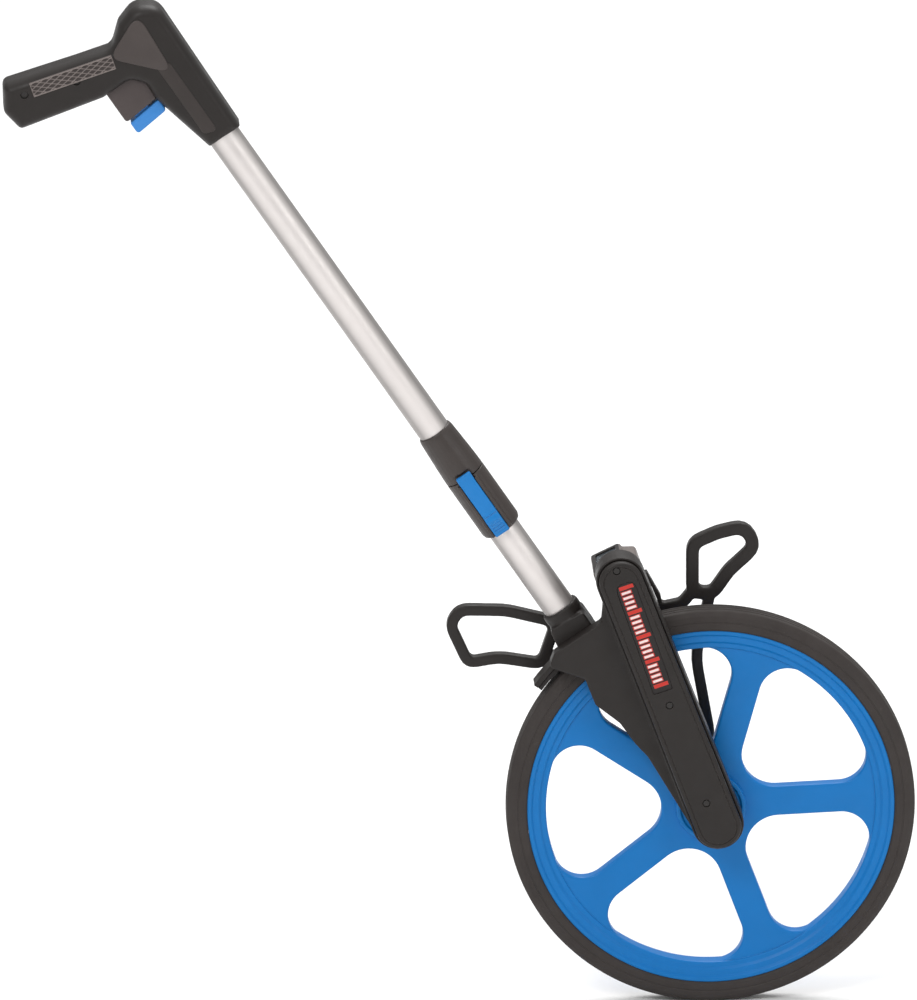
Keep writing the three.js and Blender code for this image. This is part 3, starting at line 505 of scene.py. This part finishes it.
def glass():
    """Smoked clear plastic with fine scuffs."""
    look = Look("smoked_window")
    place = look.node("TexCoord").outputs["Object"]
    scuffs = look.noise(place, 1.2, 5.0)
    tint = look.mix(scuffs, colour(150, 160, 168), colour(176, 184, 190))
    look.feed(look.shader.inputs["Base Color"], tint)
    look.feed(look.shader.inputs["Roughness"], look.span(scuffs, 0.45, 0.7, 0.03, 0.12))
    look.shader.inputs["Transmission Weight"].default_value = 0.85
    look.shader.inputs["IOR"].default_value = 1.2
    return look.material


looks = {
    "blue": worked(
        "blue_plastic", colour(0, 112, 184), 0.4, 0.55, 0.02, colour(92, 152, 214), wear=0.55,
        variation=0.05),
    "latch_blue": worked(
        "bright_blue_plastic", colour(24, 120, 192), 0.36, 0.5, 0.02, colour(120, 178, 232), wear=0.6,
        variation=0.05),
    # Lighter copy of the blue plastic for the reset bar: its pale tone is a painted highlight on the bar's
    # flat face.
    "lit_bar_blue": worked(
        "blue_plastic_painted_highlight", colour(60, 132, 204), 0.34, 0.5, 0.02, colour(140, 184, 232), wear=0.6,
        variation=0.05),
    "black": worked(
        "black_plastic", colour(38, 34, 32), 0.46, 0.5, 0.03, colour(96, 88, 84), variation=0.1),
    "gloss": worked(
        "smooth_black_plastic", colour(34, 30, 29), 0.32, 0.8, 0.012, colour(110, 102, 98), variation=0.1),
    # Black plastic of the trigger, painted in the lighter grey its flat face shows where it catches the
    # light: a painted highlight tone.
    "painted_lit_grey": worked(
        "grey_plastic", colour(74, 66, 65), 0.5, 0.45, 0.03, colour(120, 112, 108), variation=0.1),
    "grip": worked(
        "grip_plastic", colour(60, 53, 51), 0.5, 0.4, 0.03, colour(138, 128, 124), variation=0.1, wear=0.8,
        rim=0.35, relief=(HANDLE_HALF + 0.15, HANDLE_HALF + 0.75)),
    "sleeve": worked(
        "sleeve_plastic", colour(58, 51, 48), 0.42, 0.5, 0.03, colour(116, 108, 103), variation=0.1,
        shine=0.45),
    "housing": worked(
        "housing_plastic", colour(104, 95, 91), 0.36, 0.5, 0.03, colour(150, 144, 140), variation=0.12,
        shine=0.5, wear=0.8),
    # Painted sheen: a lighter black for the strips down the neck, standing in for the highlight along it.
    "band": worked(
        "neck_painted_sheen", colour(56, 50, 48), 0.4, 0.5, 0.03, colour(104, 96, 92), variation=0.1),
    # Lighter black of the handle's flat facets: a painted highlight where the flat face catches the light.
    "facet": worked(
        "facet_painted_highlight", colour(72, 65, 63), 0.45, 0.45, 0.03, colour(112, 104, 100), variation=0.1),
    "rubber": worked(
        "tyre_rubber", colour(56, 51, 49), 0.72, 0.7, 0.05, colour(92, 87, 84), variation=0.12, wear=0.5,
        scratch=0.25),
    "soft": worked(
        "soft_rubber", colour(44, 41, 40), 0.8, 0.6, 0.05, colour(78, 74, 72), variation=0.12),
    # Satin aluminium with painted shade that darkens the tubes' edges as they turn from the viewer.
    "silver": worked(
        "satin_aluminium", colour(231, 225, 222), 0.42, 0.7, 0.004, colour(240, 236, 233), variation=0.02,
        metal=0.6, wear=0.15, painted_edge_shade=0.46, stretch=(POLE_LEAN, 0.03)),
    "steel": worked(
        "steel", colour(176, 178, 180), 0.28, 0.5, 0.01, colour(225, 226, 228), metal=1.0, variation=0.06),
    "dark_steel": worked(
        "blackened_steel", colour(58, 56, 55), 0.38, 0.5, 0.01, colour(120, 118, 116), metal=0.7),
    "ivory": worked(
        "ivory_plastic", colour(232, 228, 218), 0.45, 0.5, 0.01, colour(250, 248, 242), variation=0.03),
    "white_ink": worked(
        "white_ink", colour(236, 214, 212), 0.5, 0.3, 0.01, colour(250, 244, 244), variation=0.05),
    "red_ink": worked(
        "red_ink", colour(196, 52, 44), 0.5, 0.3, 0.01, colour(226, 120, 110), variation=0.08),
    "dark_ink": worked(
        "dark_ink", colour(22, 21, 21), 0.5, 0.3, 0.01, colour(60, 58, 56), variation=0.08),
    "window": glass(),
}


# ---- wheel --------------------------------------------------------------------------------
def spoke_opening(index, grow):
    """Rounded opening between two spokes, made wider all round by grow."""
    middle = math.radians(SPOKE_START + 360 / SPOKES * (index + 0.5))
    half = math.pi / SPOKES
    inset = SPOKE_WIDTH / 2
    tip_x = (inset + SPOKE_TIP_R) / math.sin(half)
    corner_from = RING_INNER_R - SPOKE_CORNER_R
    corner_angle = half - math.asin((inset + SPOKE_CORNER_R) / corner_from)
    cx = corner_from * math.cos(corner_angle)
    cz = corner_from * math.sin(corner_angle)
    points = [
        *arc(0, 0, RING_INNER_R + grow, -corner_angle, corner_angle, 12)[1:-1],
        *arc(cx, cz, SPOKE_CORNER_R + grow, corner_angle, math.pi / 2 + half, 16),
        *arc(tip_x, 0, SPOKE_TIP_R + grow, math.pi / 2 + half, 3 * math.pi / 2 - half, 14),
        *arc(cx, -cz, SPOKE_CORNER_R + grow, -math.pi / 2 - half, -corner_angle, 16),
    ]
    c, s = math.cos(middle), math.sin(middle)
    return [(x * c - z * s, x * s + z * c) for x, z in points]


def mirrored(half):
    """Closed (radius, y, rounding) profile from its half on the positive side."""
    return [*half, *[(r, -y, *rest) for r, y, *rest in reversed(half)]]


def wheel_rim():
    """Five-spoked web with the ring that carries the tyre and the hub that holds the bearings."""
    def web(inset):
        openings = [spoke_opening(i, inset) for i in range(SPOKES)]
        return [circle(0, 0, RING_INNER_R + 5, ROUND), circle(0, 0, WEB_BORE_R, 64), *openings]

    w = RIM_HALF_WIDTH
    ring = rounded(mirrored([
        (RIM_R, w, 0.8), (RIM_R - 3, w, 1.6), (RIM_R - 4.6, w - 1.8, 0.8), (RIM_R - 9, w - 1.8, 1.4),
        (RIM_R - 11, w - 3.6, 1.2), (RING_INNER_R, w - 3.6, 1.6),
    ]), 4)
    h = HUB_HALF_WIDTH
    seat = h - BEARING_WIDTH
    hub = rounded(mirrored([
        (BEARING_R - 2, seat, 0.2), (BEARING_R + 0.05, seat, 0.2), (BEARING_R + 0.05, h, 0.4),
        (14.5, h, 0.6), (15.5, h - 1.6, 0.6), (23, h - 1.6, 0.6), (24, h, 0.6), (HUB_R, h, 1.6),
    ][::-1]), 3)
    rim = shape("rim", plate(web, -WEB_HALF_WIDTH, WEB_HALF_WIDTH, 1.7))
    fuse(rim, turned(ring, ROUND), turned(hub, 96))
    finish(rim, "wheel", looks["blue"], ["wheel_rim"], 30)


def tyre():
    """Rubber tyre with three grooves round its tread."""
    w = TYRE_HALF_WIDTH
    floor_r = WHEEL_R - TREAD_GROOVE
    half = [
        (WHEEL_R, 4.4, 0.3), (floor_r, 4.6, 0.3), (floor_r, 5.4, 0.3), (WHEEL_R, 5.6, 0.3),
        (WHEEL_R - 0.4, w - 3.2, 2.2), (WHEEL_R - 4.2, w - 0.5, 2.5), (WHEEL_R - 8.4, w, 0.6),
        (WHEEL_R - 8.8, w - 0.5, 0.3), (WHEEL_R - 9.5, w - 0.5, 0.3), (WHEEL_R - 9.9, w - 0.1, 0.3),
        (RIM_R + 1.6, w - 0.1, 1), (RIM_R + 0.1, w - 1.4, 0.3),
    ]
    middle = [(WHEEL_R, -0.6, 0.3), (floor_r, -0.4, 0.3), (floor_r, 0.4, 0.3), (WHEEL_R, 0.6, 0.3)]
    back = [(r, -y, rounding) for r, y, rounding in reversed(half)]
    profile = rounded([*middle, *half, *back], 3)
    finish(shape("tyre_tread", turned(profile, ROUND)), "wheel", looks["rubber"], ["tyre"], 30)


# ---- right arm ------------------------------------------------------------------------------
def cover_outline(inset):
    """Outline of the belt case's cover, that far inside it."""
    return belt_outline(COVER_FOOT, COVER_FOOT_R - inset, arm_to_axle(*COVER_HEAD), COVER_HEAD_R - inset)


def label_corners(inset):
    """Corners of the sunk label, moved inwards."""
    w = LABEL_HALF
    corners = [(-w, LABEL_BOTTOM, 2), (w, LABEL_BOTTOM, 2), (w, LABEL_TOP, 7), (-w, LABEL_TOP, 7)]
    return offset([(*arm_to_axle(x + LABEL_MIDDLE, z), r) for x, z, r in corners], inset)


def arm_cover():
    """Cover of the belt case, with a groove along its rim, a sunk label and three screw holes."""
    cover = shape("arm_cover", plate(lambda inset: [cover_outline(inset)], -COVER_OUT, -COVER_IN, 2.2, 5))
    inner = COVER_WALL + 1.6
    hollow = plate(lambda inset: [cover_outline(inner + inset)], COVER_FACE - COVER_OUT, 0, 0.6, 2)
    recess = plate(lambda inset: [rounded(label_corners(inset))], -60, LABEL_DEPTH - COVER_OUT, 0.5, 2)
    groove_depth = 0.6
    groove_outer = 3.1
    groove_inner = 4.1
    groove = lofted([
        (y, [cover_outline(groove_outer + taper), cover_outline(groove_inner - taper)])
        for y, taper in ((-COVER_OUT - 1, -0.4), (groove_depth - COVER_OUT, 0.15))
    ])
    carve(cover, hollow, recess)
    carve(cover, groove)
    screws = [(-5.5, 13.8), arm_to_axle(-2, 100), arm_to_axle(-5.5, 217)]
    for x, z in screws:
        carve(cover, shaft(x, z, 3.1, -60, 1.9 - COVER_OUT), shaft(x, z, 1.65, -60, 0))
    finish(cover, "fork", looks["black"], ["right_arm_cover"], 32)


def label_marks():
    """Ruler ticks along the arm, white with a red border; every fifth one is longer and all red."""
    face = 0.6 - COVER_OUT
    white = []
    red = []
    for i in range(TICKS):
        z = LABEL_BOTTOM + 6 + TICK_PITCH * i
        long = i % 5 == 0
        low = LABEL_MIDDLE - 5.6
        high = LABEL_MIDDLE + (6 if long else 3.4)
        red.append(box(low, high, face - 0.12, face + 0.1, z - 1.55, z + 1.55))
        if not long:
            white.append(box(low + 0.8, high - 0.8, face - 0.26, face - 0.05, z - 0.95, z + 0.95))
    for name, parts in (("white", white), ("red", red)):
        marks = shape(f"{name}_marks", merged(parts), ARM)
        finish(marks, "fork", looks[name + "_ink"])


# ---- counter ------------------------------------------------------------------------------
def drum_turned(profile, y, sides=72):
    """A (radius, offset) profile turned about the counter's shaft, in the arm's frame."""
    points, faces = turned([(r, y + h) for r, h in profile], sides)
    return [(COUNTER_AT[0] + px, py, COUNTER_AT[1] + pz) for px, py, pz in points], faces


def digit(value, y):
    """Numeral laid round a drum, standing upright for a reader behind the wheel."""
    text = bpy.data.curves.new("numeral", "FONT")
    text.body = str(value)
    text.size = DIGIT_SIZE
    text.extrude = DIGIT_RISE
    text.align_x = "CENTER"
    text.align_y = "CENTER"
    obj = bpy.data.objects.new("numeral", text)
    bpy.context.scene.collection.objects.link(obj)
    bpy.context.view_layer.update()
    mesh = obj.to_mesh()
    facing = math.radians(READING_ANGLE)
    points = []
    for vertex in mesh.vertices:
        a = facing - math.radians(36 * value) + vertex.co.y / DRUM_R
        r = DRUM_R + vertex.co.z
        points.append((COUNTER_AT[0] + r * math.sin(a), y - vertex.co.x, COUNTER_AT[1] + r * math.cos(a)))
    faces = [tuple(polygon.vertices) for polygon in mesh.polygons]
    obj.to_mesh_clear()
    bpy.data.objects.remove(obj)
    return points, faces


def drums():
    """Five number drums, the blue one for tenths at the right."""
    for i, name in enumerate(DRUMS):
        y = FIRST_DRUM_Y + i * DRUM_PITCH
        h = DRUM_WIDTH / 2
        inner = SHAFT_R + (0.02 if i == 0 else 0.1)
        profile = rounded(mirrored([
            (inner, h, 0.1), (5.5, h, 0.2), (6, h - 0.7, 0.2), (10, h - 0.7, 0.2), (10.6, h, 0.2),
            (DRUM_R, h, 0.4),
        ][::-1]), 2)
        body = "counter_" + name
        wheel = shape("number_drum_" + name, drum_turned(profile, y), ARM)
        finish(wheel, body, looks["blue" if i == 0 else "ivory"], ["drum_" + name])
        digits = shape("numerals_" + name, merged([digit(k, y) for k in range(10)]), ARM)
        finish(digits, body, looks["white_ink" if i == 0 else "dark_ink"])


def counter_top(n):
    """Height of the counter case's sloping top, in the arm's frame."""
    return COUNTER_REAR_TOP + (n - COUNTER_REAR) * COUNTER_RISE / COUNTER_RUN


def window_bezel():
    """Raised frame round the window, on the sloping top of the counter case."""
    outer = [(-24.2, -17, 2.5), (-0.8, -17, 2.5), (-0.8, 27, 2.5), (-24.2, 27, 2.5)]
    hole = [(-20.6, -12.2, 1.5), (-3.9, -12.2, 1.5), (-3.9, 23, 1.5), (-20.6, 23, 1.5)]

    def loops_at(inset):
        return [rounded(offset(outer, inset)), rounded(offset(hole, -inset))]

    points, faces = plate(loops_at, -0.4, 1, 0.5)
    raised = [(n, y, counter_top(n) + height) for n, height, y in points]
    finish(shape("window_bezel", (raised, faces), ARM), "fork", looks["gloss"])


# ---- pole and folding joint -----------------------------------------------------------------
def tube(name, node, body, low, high):
    """Round tube between two distances along the pole, with softened ends."""
    inner = TUBE_R - TUBE_WALL
    profile = rounded([(TUBE_R, low, 0.4), (TUBE_R, high, 0.4), (inner, high, 0.3), (inner, low, 0.3)], 2)
    made = shape(name, along_z(turned(profile, 80)), POLE)
    finish(made, body, looks["silver"], [node])


def latch():
    """Rocking latch: a long plate with a ribbed thumb pad below its pin."""
    pin_y, pin_z = LATCH_PIN
    side = [
        (-19.4, COLLAR_BOTTOM + 1, 1.5), (-20.2, pin_z - 6, 2), (-18.8, pin_z, 2),
        (-19.2, FOLD_AT + 4.5, 1.5), (-15.6, FOLD_AT + 4.5, 0.8), (-16.6, FOLD_AT - 6, 2),
        (-16.4, pin_z, 2), (-17, COLLAR_BOTTOM + 1, 0.8),
    ][::-1]
    blank = along_x(plate(lambda inset: [rounded(offset(side, inset))], -LATCH_HALF, LATCH_HALF, 0.9))
    lever = shape("latch_plate", blank, POLE)
    eye = pin_x(pin_y, pin_z, 1.75, 6.2)
    ribs = [
        box(-4.6, 4.6, -20.3, -18.4, COLLAR_BOTTOM + 4.5 + 2.4 * i, COLLAR_BOTTOM + 5.7 + 2.4 * i)
        for i in range(4)
    ]
    fuse(lever, eye, *ribs, place=POLE)
    notch = box(-9, 9, -21, -18.9, pin_z - 2.6, pin_z - 1.6)
    carve(lever, pin_x(pin_y, pin_z, 1, 9), notch, place=POLE)
    finish(lever, "latch", looks["latch_blue"], ["latch_lever"], 35)


# ---- handle ---------------------------------------------------------------------------------
def handle_inset(y):
    """How far the handle's outline has drawn in at a distance y from the middle plane."""
    straight = 6.4
    most = 7
    if abs(y) <= straight:
        return 0.0
    share = min((abs(y) - straight) / (HANDLE_HALF - straight), 1)
    return most * (1 - math.sqrt(1 - share * share))


def handle_half(sign):
    """Right (-1) or left (1) half of the handle, its outline drawing in towards its side."""
    shares = [0, 0.38, 0.47, 0.56, 0.65, 0.73, 0.8, 0.86, 0.91, 0.95, 0.98, 0.995, 1]
    heights = [HANDLE_GAP if share == 0 else share * HANDLE_HALF for share in shares]
    layers = [(sign * y, [rounded(offset(HANDLE_CORNERS, handle_inset(y)), 8)]) for y in heights]
    return lofted(layers)


def handle_shell(name, node, sign):
    """One half of the handle, hollowed for the tube, the cable, the trigger and the button."""
    shell = shape(name, handle_half(sign), POLE)
    half = TRIGGER["half"]
    reach = TRIGGER["top"] + TRIGGER["travel"] + CLEAR
    rise = BUTTON["top"] + MOUTH_RISE + TRIGGER["travel"] + BUTTON["travel"] + CLEAR
    below = 600  # clear of the neck's end
    mouth = 690  # clear of the opening under the trigger
    bore = bar_z(TUBE_R + 0.05, below, UPPER_TUBE_TOP + 1, sides=80)
    cable_room = bar_z(CABLE_ROOM_R, *CABLE_ROOM)
    carve(
        shell,
        bore,
        cable_room,
        box(TRIGGER["rear"] - 5, -20, -half - 2, half + 2, GRIP_FLOOR, reach),
        box(-22, 0, -half - 2, half + 2, NECK_FLOOR, reach),
        box(TRIGGER["rear"] - CLEAR, TRIGGER["front"] + CLEAR, -half - CLEAR, half + CLEAR, mouth, reach),
        box(BUTTON["rear"] - CLEAR, BUTTON["front"] + CLEAR, -half - CLEAR, half + CLEAR, mouth, rise),
        place=POLE,
    )
    if sign < 0:
        for x, z in HANDLE_SCREWS:
            carve(shell, shaft(x, z, 3.2, -60, 3.1 - HANDLE_HALF), place=POLE)
    finish(shell, "upper_pole", looks["black"], [node], 40)


def side_panel(name, corners, sign, thickness, look):
    """Raised flat facet on one side of the handle."""
    low, high = sorted((sign * (HANDLE_HALF - 1), sign * (HANDLE_HALF + thickness)))
    facet = plate(lambda inset: [rounded(offset(corners, inset))], low, high, 0.85, 5)
    finish(shape(name, facet, POLE), "upper_pole", looks[look])


def ridge(t):
    """Height share of a narrow rounded ridge repeated once per unit of t."""
    reach = 0.17
    away = abs(t - round(t)) / reach
    return 0.5 * (1 + math.cos(math.pi * away)) if away < 1 else 0.0


def grip_panel(name, sign):
    """Diamond-ribbed band along the middle of the grip."""
    start, end = (Vector(point) for point in GRIP_BAND)
    run = (end - start).normalized()
    across = Vector((-run.y, run.x))
    length = (end - start).length
    half = GRIP_BAND_HALF
    pitch = 8.2
    slant = 2.1
    step = 0.45  # size of one face
    columns = round(length / step)
    rows = round(2 * half / step)
    base = HANDLE_HALF - 0.9
    height = 0.75
    border_width = 0.9

    def level(u, v):
        pattern = max(ridge((u + slant * v) / pitch), ridge((u - slant * v) / pitch))
        edge = min(u, length - u, v + half, half - v)
        frame_rib = 1 if edge < border_width else 0
        return base + 1.0 + height * max(pattern, frame_rib) * min(1, 0.35 + edge)

    points = []
    for i in range(columns + 1):
        for j in range(rows + 1):
            u, v = length * i / columns, half * (2 * j / rows - 1)
            spot = start + run * u + across * v
            points.append((spot.x, sign * level(u, v), spot.y))
    top = len(points)
    points.extend((x, sign * base, z) for x, _, z in points[:top])
    faces = []
    stride = rows + 1
    for i in range(columns):
        for j in range(rows):
            a = i * stride + j
            quad = (a, a + 1, a + stride + 1, a + stride)
            faces.append(quad)
            faces.append(tuple(top + k for k in quad))
    border = [
        *range(0, rows), *range(rows, columns * stride + rows, stride),
        *range(columns * stride + rows, columns * stride, -1), *range(columns * stride, 0, -stride),
    ]
    for a, b in zip(border, border[1:] + border[:1]):
        faces.append((a, b, top + b, top + a))
    finish(shape(name, (points, faces), POLE), "upper_pole", looks["grip"], sharp=60)


def trigger():
    """Brake trigger, with a channel and a bore for the button's stem and spring."""
    rear, front, bottom, top, half = (TRIGGER[k] for k in ("rear", "front", "bottom", "top", "half"))
    corners = [(rear, bottom, 3), (front, bottom + MOUTH_RISE, 3), (front, top, 2), (rear, top, 2)]
    blank = plate(lambda inset: [rounded(offset(corners, inset))], -half, half, 1.2)
    block = shape("trigger_block", blank, POLE)
    spring_bore = bar_z(4, bottom + 10, bottom + 28, STEM_X)
    rear, front, half = STEM["rear"] - CLEAR, STEM["front"] + CLEAR, STEM["half"] + CLEAR
    channel = box(rear, front, -half, half, bottom - 5, bottom + 16)
    carve(block, channel, spring_bore, place=POLE)
    # The trigger's grey is a painted lit tone of black plastic.
    finish(block, "brake_trigger", looks["painted_lit_grey"], ["trigger"])


def reset_bar():
    """Push bar under the trigger, with the stem that runs up into it."""
    rear, front, bottom, top, half = (BUTTON[k] for k in ("rear", "front", "bottom", "top", "half"))
    corners = [
        (rear, bottom, 3), (front, bottom + MOUTH_RISE, 3), (front, top + MOUTH_RISE, 1.5),
        (rear, top, 1.5),
    ]
    blank = plate(lambda inset: [rounded(offset(corners, inset))], -half, half, 1.4)
    bar = shape("reset_bar", blank, POLE)
    half = STEM["half"]
    fuse(bar, box(STEM["rear"], STEM["front"], -half, half, top - 1, TRIGGER["bottom"] + 12), place=POLE)
    # The bar's pale blue is a painted highlight tone of the blue plastic.
    finish(bar, "reset", looks["lit_bar_blue"], ["reset_button"])


def spring(name, node, body, x, radius, wire, low, high, turns):
    """Coil along the pole, wound from its low end up to its high end."""
    sides = 10
    steps = 24 * turns
    slope = (high - low) / (2 * math.pi * turns * radius)
    points = []
    for i in range(steps + 1):
        a = 2 * math.pi * turns * i / steps
        out = Vector((math.cos(a), math.sin(a), 0))
        rise = Vector((slope * math.sin(a), -slope * math.cos(a), 1)).normalized()
        middle = out * radius + Vector((x, 0, low + (high - low) * i / steps))
        for k in range(sides):
            b = 2 * math.pi * k / sides
            points.append(tuple(middle + (out * math.cos(b) + rise * math.sin(b)) * wire))
    faces = [tuple(range(sides)), tuple(steps * sides + k for k in range(sides))]
    for i in range(steps):
        for k in range(sides):
            n = (k + 1) % sides
            here, there = i * sides, (i + 1) * sides
            faces.append((here + k, here + n, there + n, there + k))
    coil = shape(name, (points, faces), POLE)
    finish(coil, body, looks["steel"], [node])
    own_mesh(coil)


# ---- pieces -------------------------------------------------------------------------------
wheel_rim()
tyre()
arm_cover()
label_marks()
drums()
window_bezel()
tube("pole_lower_tube", "lower_tube", "fork", SOCKET_FLOOR, FOLD_AT - 9)
tube("pole_upper_tube", "upper_tube", "upper_pole", FOLD_AT + 8.2, UPPER_TUBE_TOP)
latch()
handle_shell("handle_right", "handle_shell_right", -1)
handle_shell("handle_left", "handle_shell_left", 1)
# The facets' lighter colour is a painted highlight.
side_panel("facet_right", FACET, -1, 0.9, "facet")
side_panel("facet_left", FACET, 1, 0.9, "facet")
# The neck strips' lighter colour is a painted sheen along the rounded neck.
side_panel("neck_sheen_right", NECK_SHEEN_STRIP, -1, 0.5, "band")
side_panel("neck_sheen_left", NECK_SHEEN_STRIP, 1, 0.5, "band")
grip_panel("grip_ribs_right", -1)
grip_panel("grip_ribs_left", 1)
trigger()
reset_bar()
spring("spring_trigger", "trigger_spring", "upper_pole", -42, 3.5, 0.45,
       TRIGGER["top"] + 0.7, TRIGGER["top"] + TRIGGER["travel"] - 0.6, 3)
spring("spring_button", "button_spring", "brake_trigger", STEM_X, 2.8, 0.4,
       TRIGGER["bottom"] + 12.7, TRIGGER["bottom"] + 27, 4)

MOULDED = {  # piece: (node, body, voxel, smoothing passes, look, slot)
    "arm_case": ("right_arm_case", "fork", 0.8, 4, "black", "black_plastic"),
    "arm_left": ("left_arm", "fork", 0.8, 6, "black", "black_plastic"),
    "crown": ("fork_crown", "fork", 0.8, 6, "black", "black_plastic"),
    "counter_housing": ("counter_case", "fork", 0.5, 3, "housing", "black_plastic"),
    "parking_hook": ("stand_catch", "fork", 0.4, 3, "black", "black_plastic"),
    "stand_frame": ("stand", "stand_leg", 0.8, 8, "black", "black_plastic"),
    "collar_lower": ("lower_ferrule", "fork", 0.5, 2, "sleeve", "black_plastic"),
    "collar_upper": ("upper_knuckle", "upper_pole", 0.5, 2, "sleeve", "black_plastic"),
    "brake_arm": ("brake_lever", "brake", 0.6, 5, "black", "black_plastic"),
    "brake_pad": ("brake_shoe", "brake", 0.5, 4, "soft", "rubber"),
}
for piece, (node, body, voxel, passes, look, slot) in MOULDED.items():
    finish(melted(piece, node, voxel, passes), body, looks[look], [node], 50)

KEPT = {  # look: CAD nodes that are shown as they are
    "steel": [
        "right_bearing", "left_bearing", "axle", "axle_nut", "axle_spacer", "brake_pin", "crown_bolt_1",
        "crown_bolt_2", "counter_shaft", "stand_bolt", "hinge_pin", "latch_pin",
    ],
    "dark_steel": [
        "cover_screw_1", "cover_screw_2", "cover_screw_3", "handle_screw_1", "handle_screw_2",
        "handle_screw_3",
    ],
    "black": ["drive_pulley", "counter_pulley"],
    "gloss": ["label_plate"],
    "soft": ["drive_belt", "brake_cable_lower", "brake_cable_upper"],
    "window": ["counter_window"],
}
for look, nodes in KEPT.items():
    for node in nodes:
        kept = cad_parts[node].data
        kept.materials.clear()
        kept.materials.append(looks[look])


# ---- floor, light and camera ----------------------------------------------------------------
def floor():
    """Pale plane that reaches past every view of the object."""
    look = Look("pale_floor")
    place = look.node("TexCoord").outputs["Object"]
    tint = look.mix(look.noise(place, 900), colour(246, 246, 246), colour(250, 250, 250))
    look.feed(look.shader.inputs["Base Color"], tint)
    look.shader.inputs["Roughness"].default_value = 0.9
    look.shader.inputs["Specular IOR Level"].default_value = 0.1
    reach = 200  # metres
    corners = [(-reach, -reach, 0), (reach, -reach, 0), (reach, reach, 0), (-reach, reach, 0)]
    mesh = bpy.data.meshes.new("floor")
    mesh.from_pydata(corners, [], [(0, 1, 2, 3)])
    mesh.materials.append(look.material)
    obj = bpy.data.objects.new("floor", mesh)
    bpy.context.scene.collection.objects.link(obj)


def softbox(name, place, aim, size, power):
    """Round area light, its size in metres and its power in watts."""
    light = bpy.data.lights.new(name, "AREA")
    light.shape = "DISK"
    light.size = size
    light.energy = power
    obj = bpy.data.objects.new(name, light)
    obj.location = place
    obj.rotation_euler = (Vector(aim) - Vector(place)).to_track_quat("-Z", "Y").to_euler()
    bpy.context.scene.collection.objects.link(obj)


def surroundings():
    """White backdrop, dimmer near the horizon as a source of light, and three soft lamps."""
    world = bpy.data.worlds.new("surroundings")
    world.use_nodes = True
    tree = world.node_tree
    backdrop = tree.nodes["Background"]
    direction = tree.nodes.new("ShaderNodeTexCoord").outputs["Generated"]
    split = tree.nodes.new("ShaderNodeSeparateXYZ")
    tree.links.new(direction, split.inputs[0])
    height = tree.nodes.new("ShaderNodeMapRange")
    tree.links.new(split.outputs["Z"], height.inputs[0])
    height.inputs[1].default_value = 0.0
    height.inputs[2].default_value = 0.75
    height.inputs[3].default_value = 0.3
    height.inputs[4].default_value = 0.8
    seen = tree.nodes.new("ShaderNodeLightPath").outputs["Is Camera Ray"]
    strength = tree.nodes.new("ShaderNodeMix")
    tree.links.new(seen, strength.inputs["Factor"])
    tree.links.new(height.outputs[0], strength.inputs["A"])
    strength.inputs["B"].default_value = 0.98
    tree.links.new(strength.outputs["Result"], backdrop.inputs["Strength"])
    backdrop.inputs["Color"].default_value = (1, 1, 1, 1)
    bpy.context.scene.world = world
    bpy.context.scene.view_settings.view_transform = "Standard"
    middle = (-0.2, 0, 0.45)
    softbox("key", (-2.2, -3.2, 3.6), middle, 1.8, 75)
    softbox("fill", (2.8, -2.6, 1.6), middle, 2.4, 22)
    softbox("top", (0.3, 1.8, 3.4), middle, 2.2, 75)


def camera():
    """Long lens, a little above the object, square to its right side."""
    azimuth = math.radians(CAMERA_AZIMUTH)
    elevation = math.radians(CAMERA_ELEVATION)
    right = Vector((math.cos(azimuth), math.sin(azimuth), 0))
    level = math.cos(elevation)
    back = Vector((math.sin(azimuth) * level, -math.cos(azimuth) * level, math.sin(elevation)))
    up = back.cross(right)
    aim = Vector((0, 0, WHEEL_R * MM)) + right * CAMERA_AIM[0] + up * CAMERA_AIM[1]
    data = bpy.data.cameras.new("camera")
    data.lens = 1200
    data.sensor_width = 36
    distance = VIEW_HEIGHT * data.lens / data.sensor_width
    obj = bpy.data.objects.new("camera", data)
    obj.location = aim + back * distance
    obj.rotation_mode = "QUATERNION"
    obj.rotation_quaternion = (-back).to_track_quat("-Z", "Y")
    data.clip_end = 400
    bpy.context.scene.collection.objects.link(obj)
    bpy.context.scene.camera = obj


floor()
surroundings()
camera()
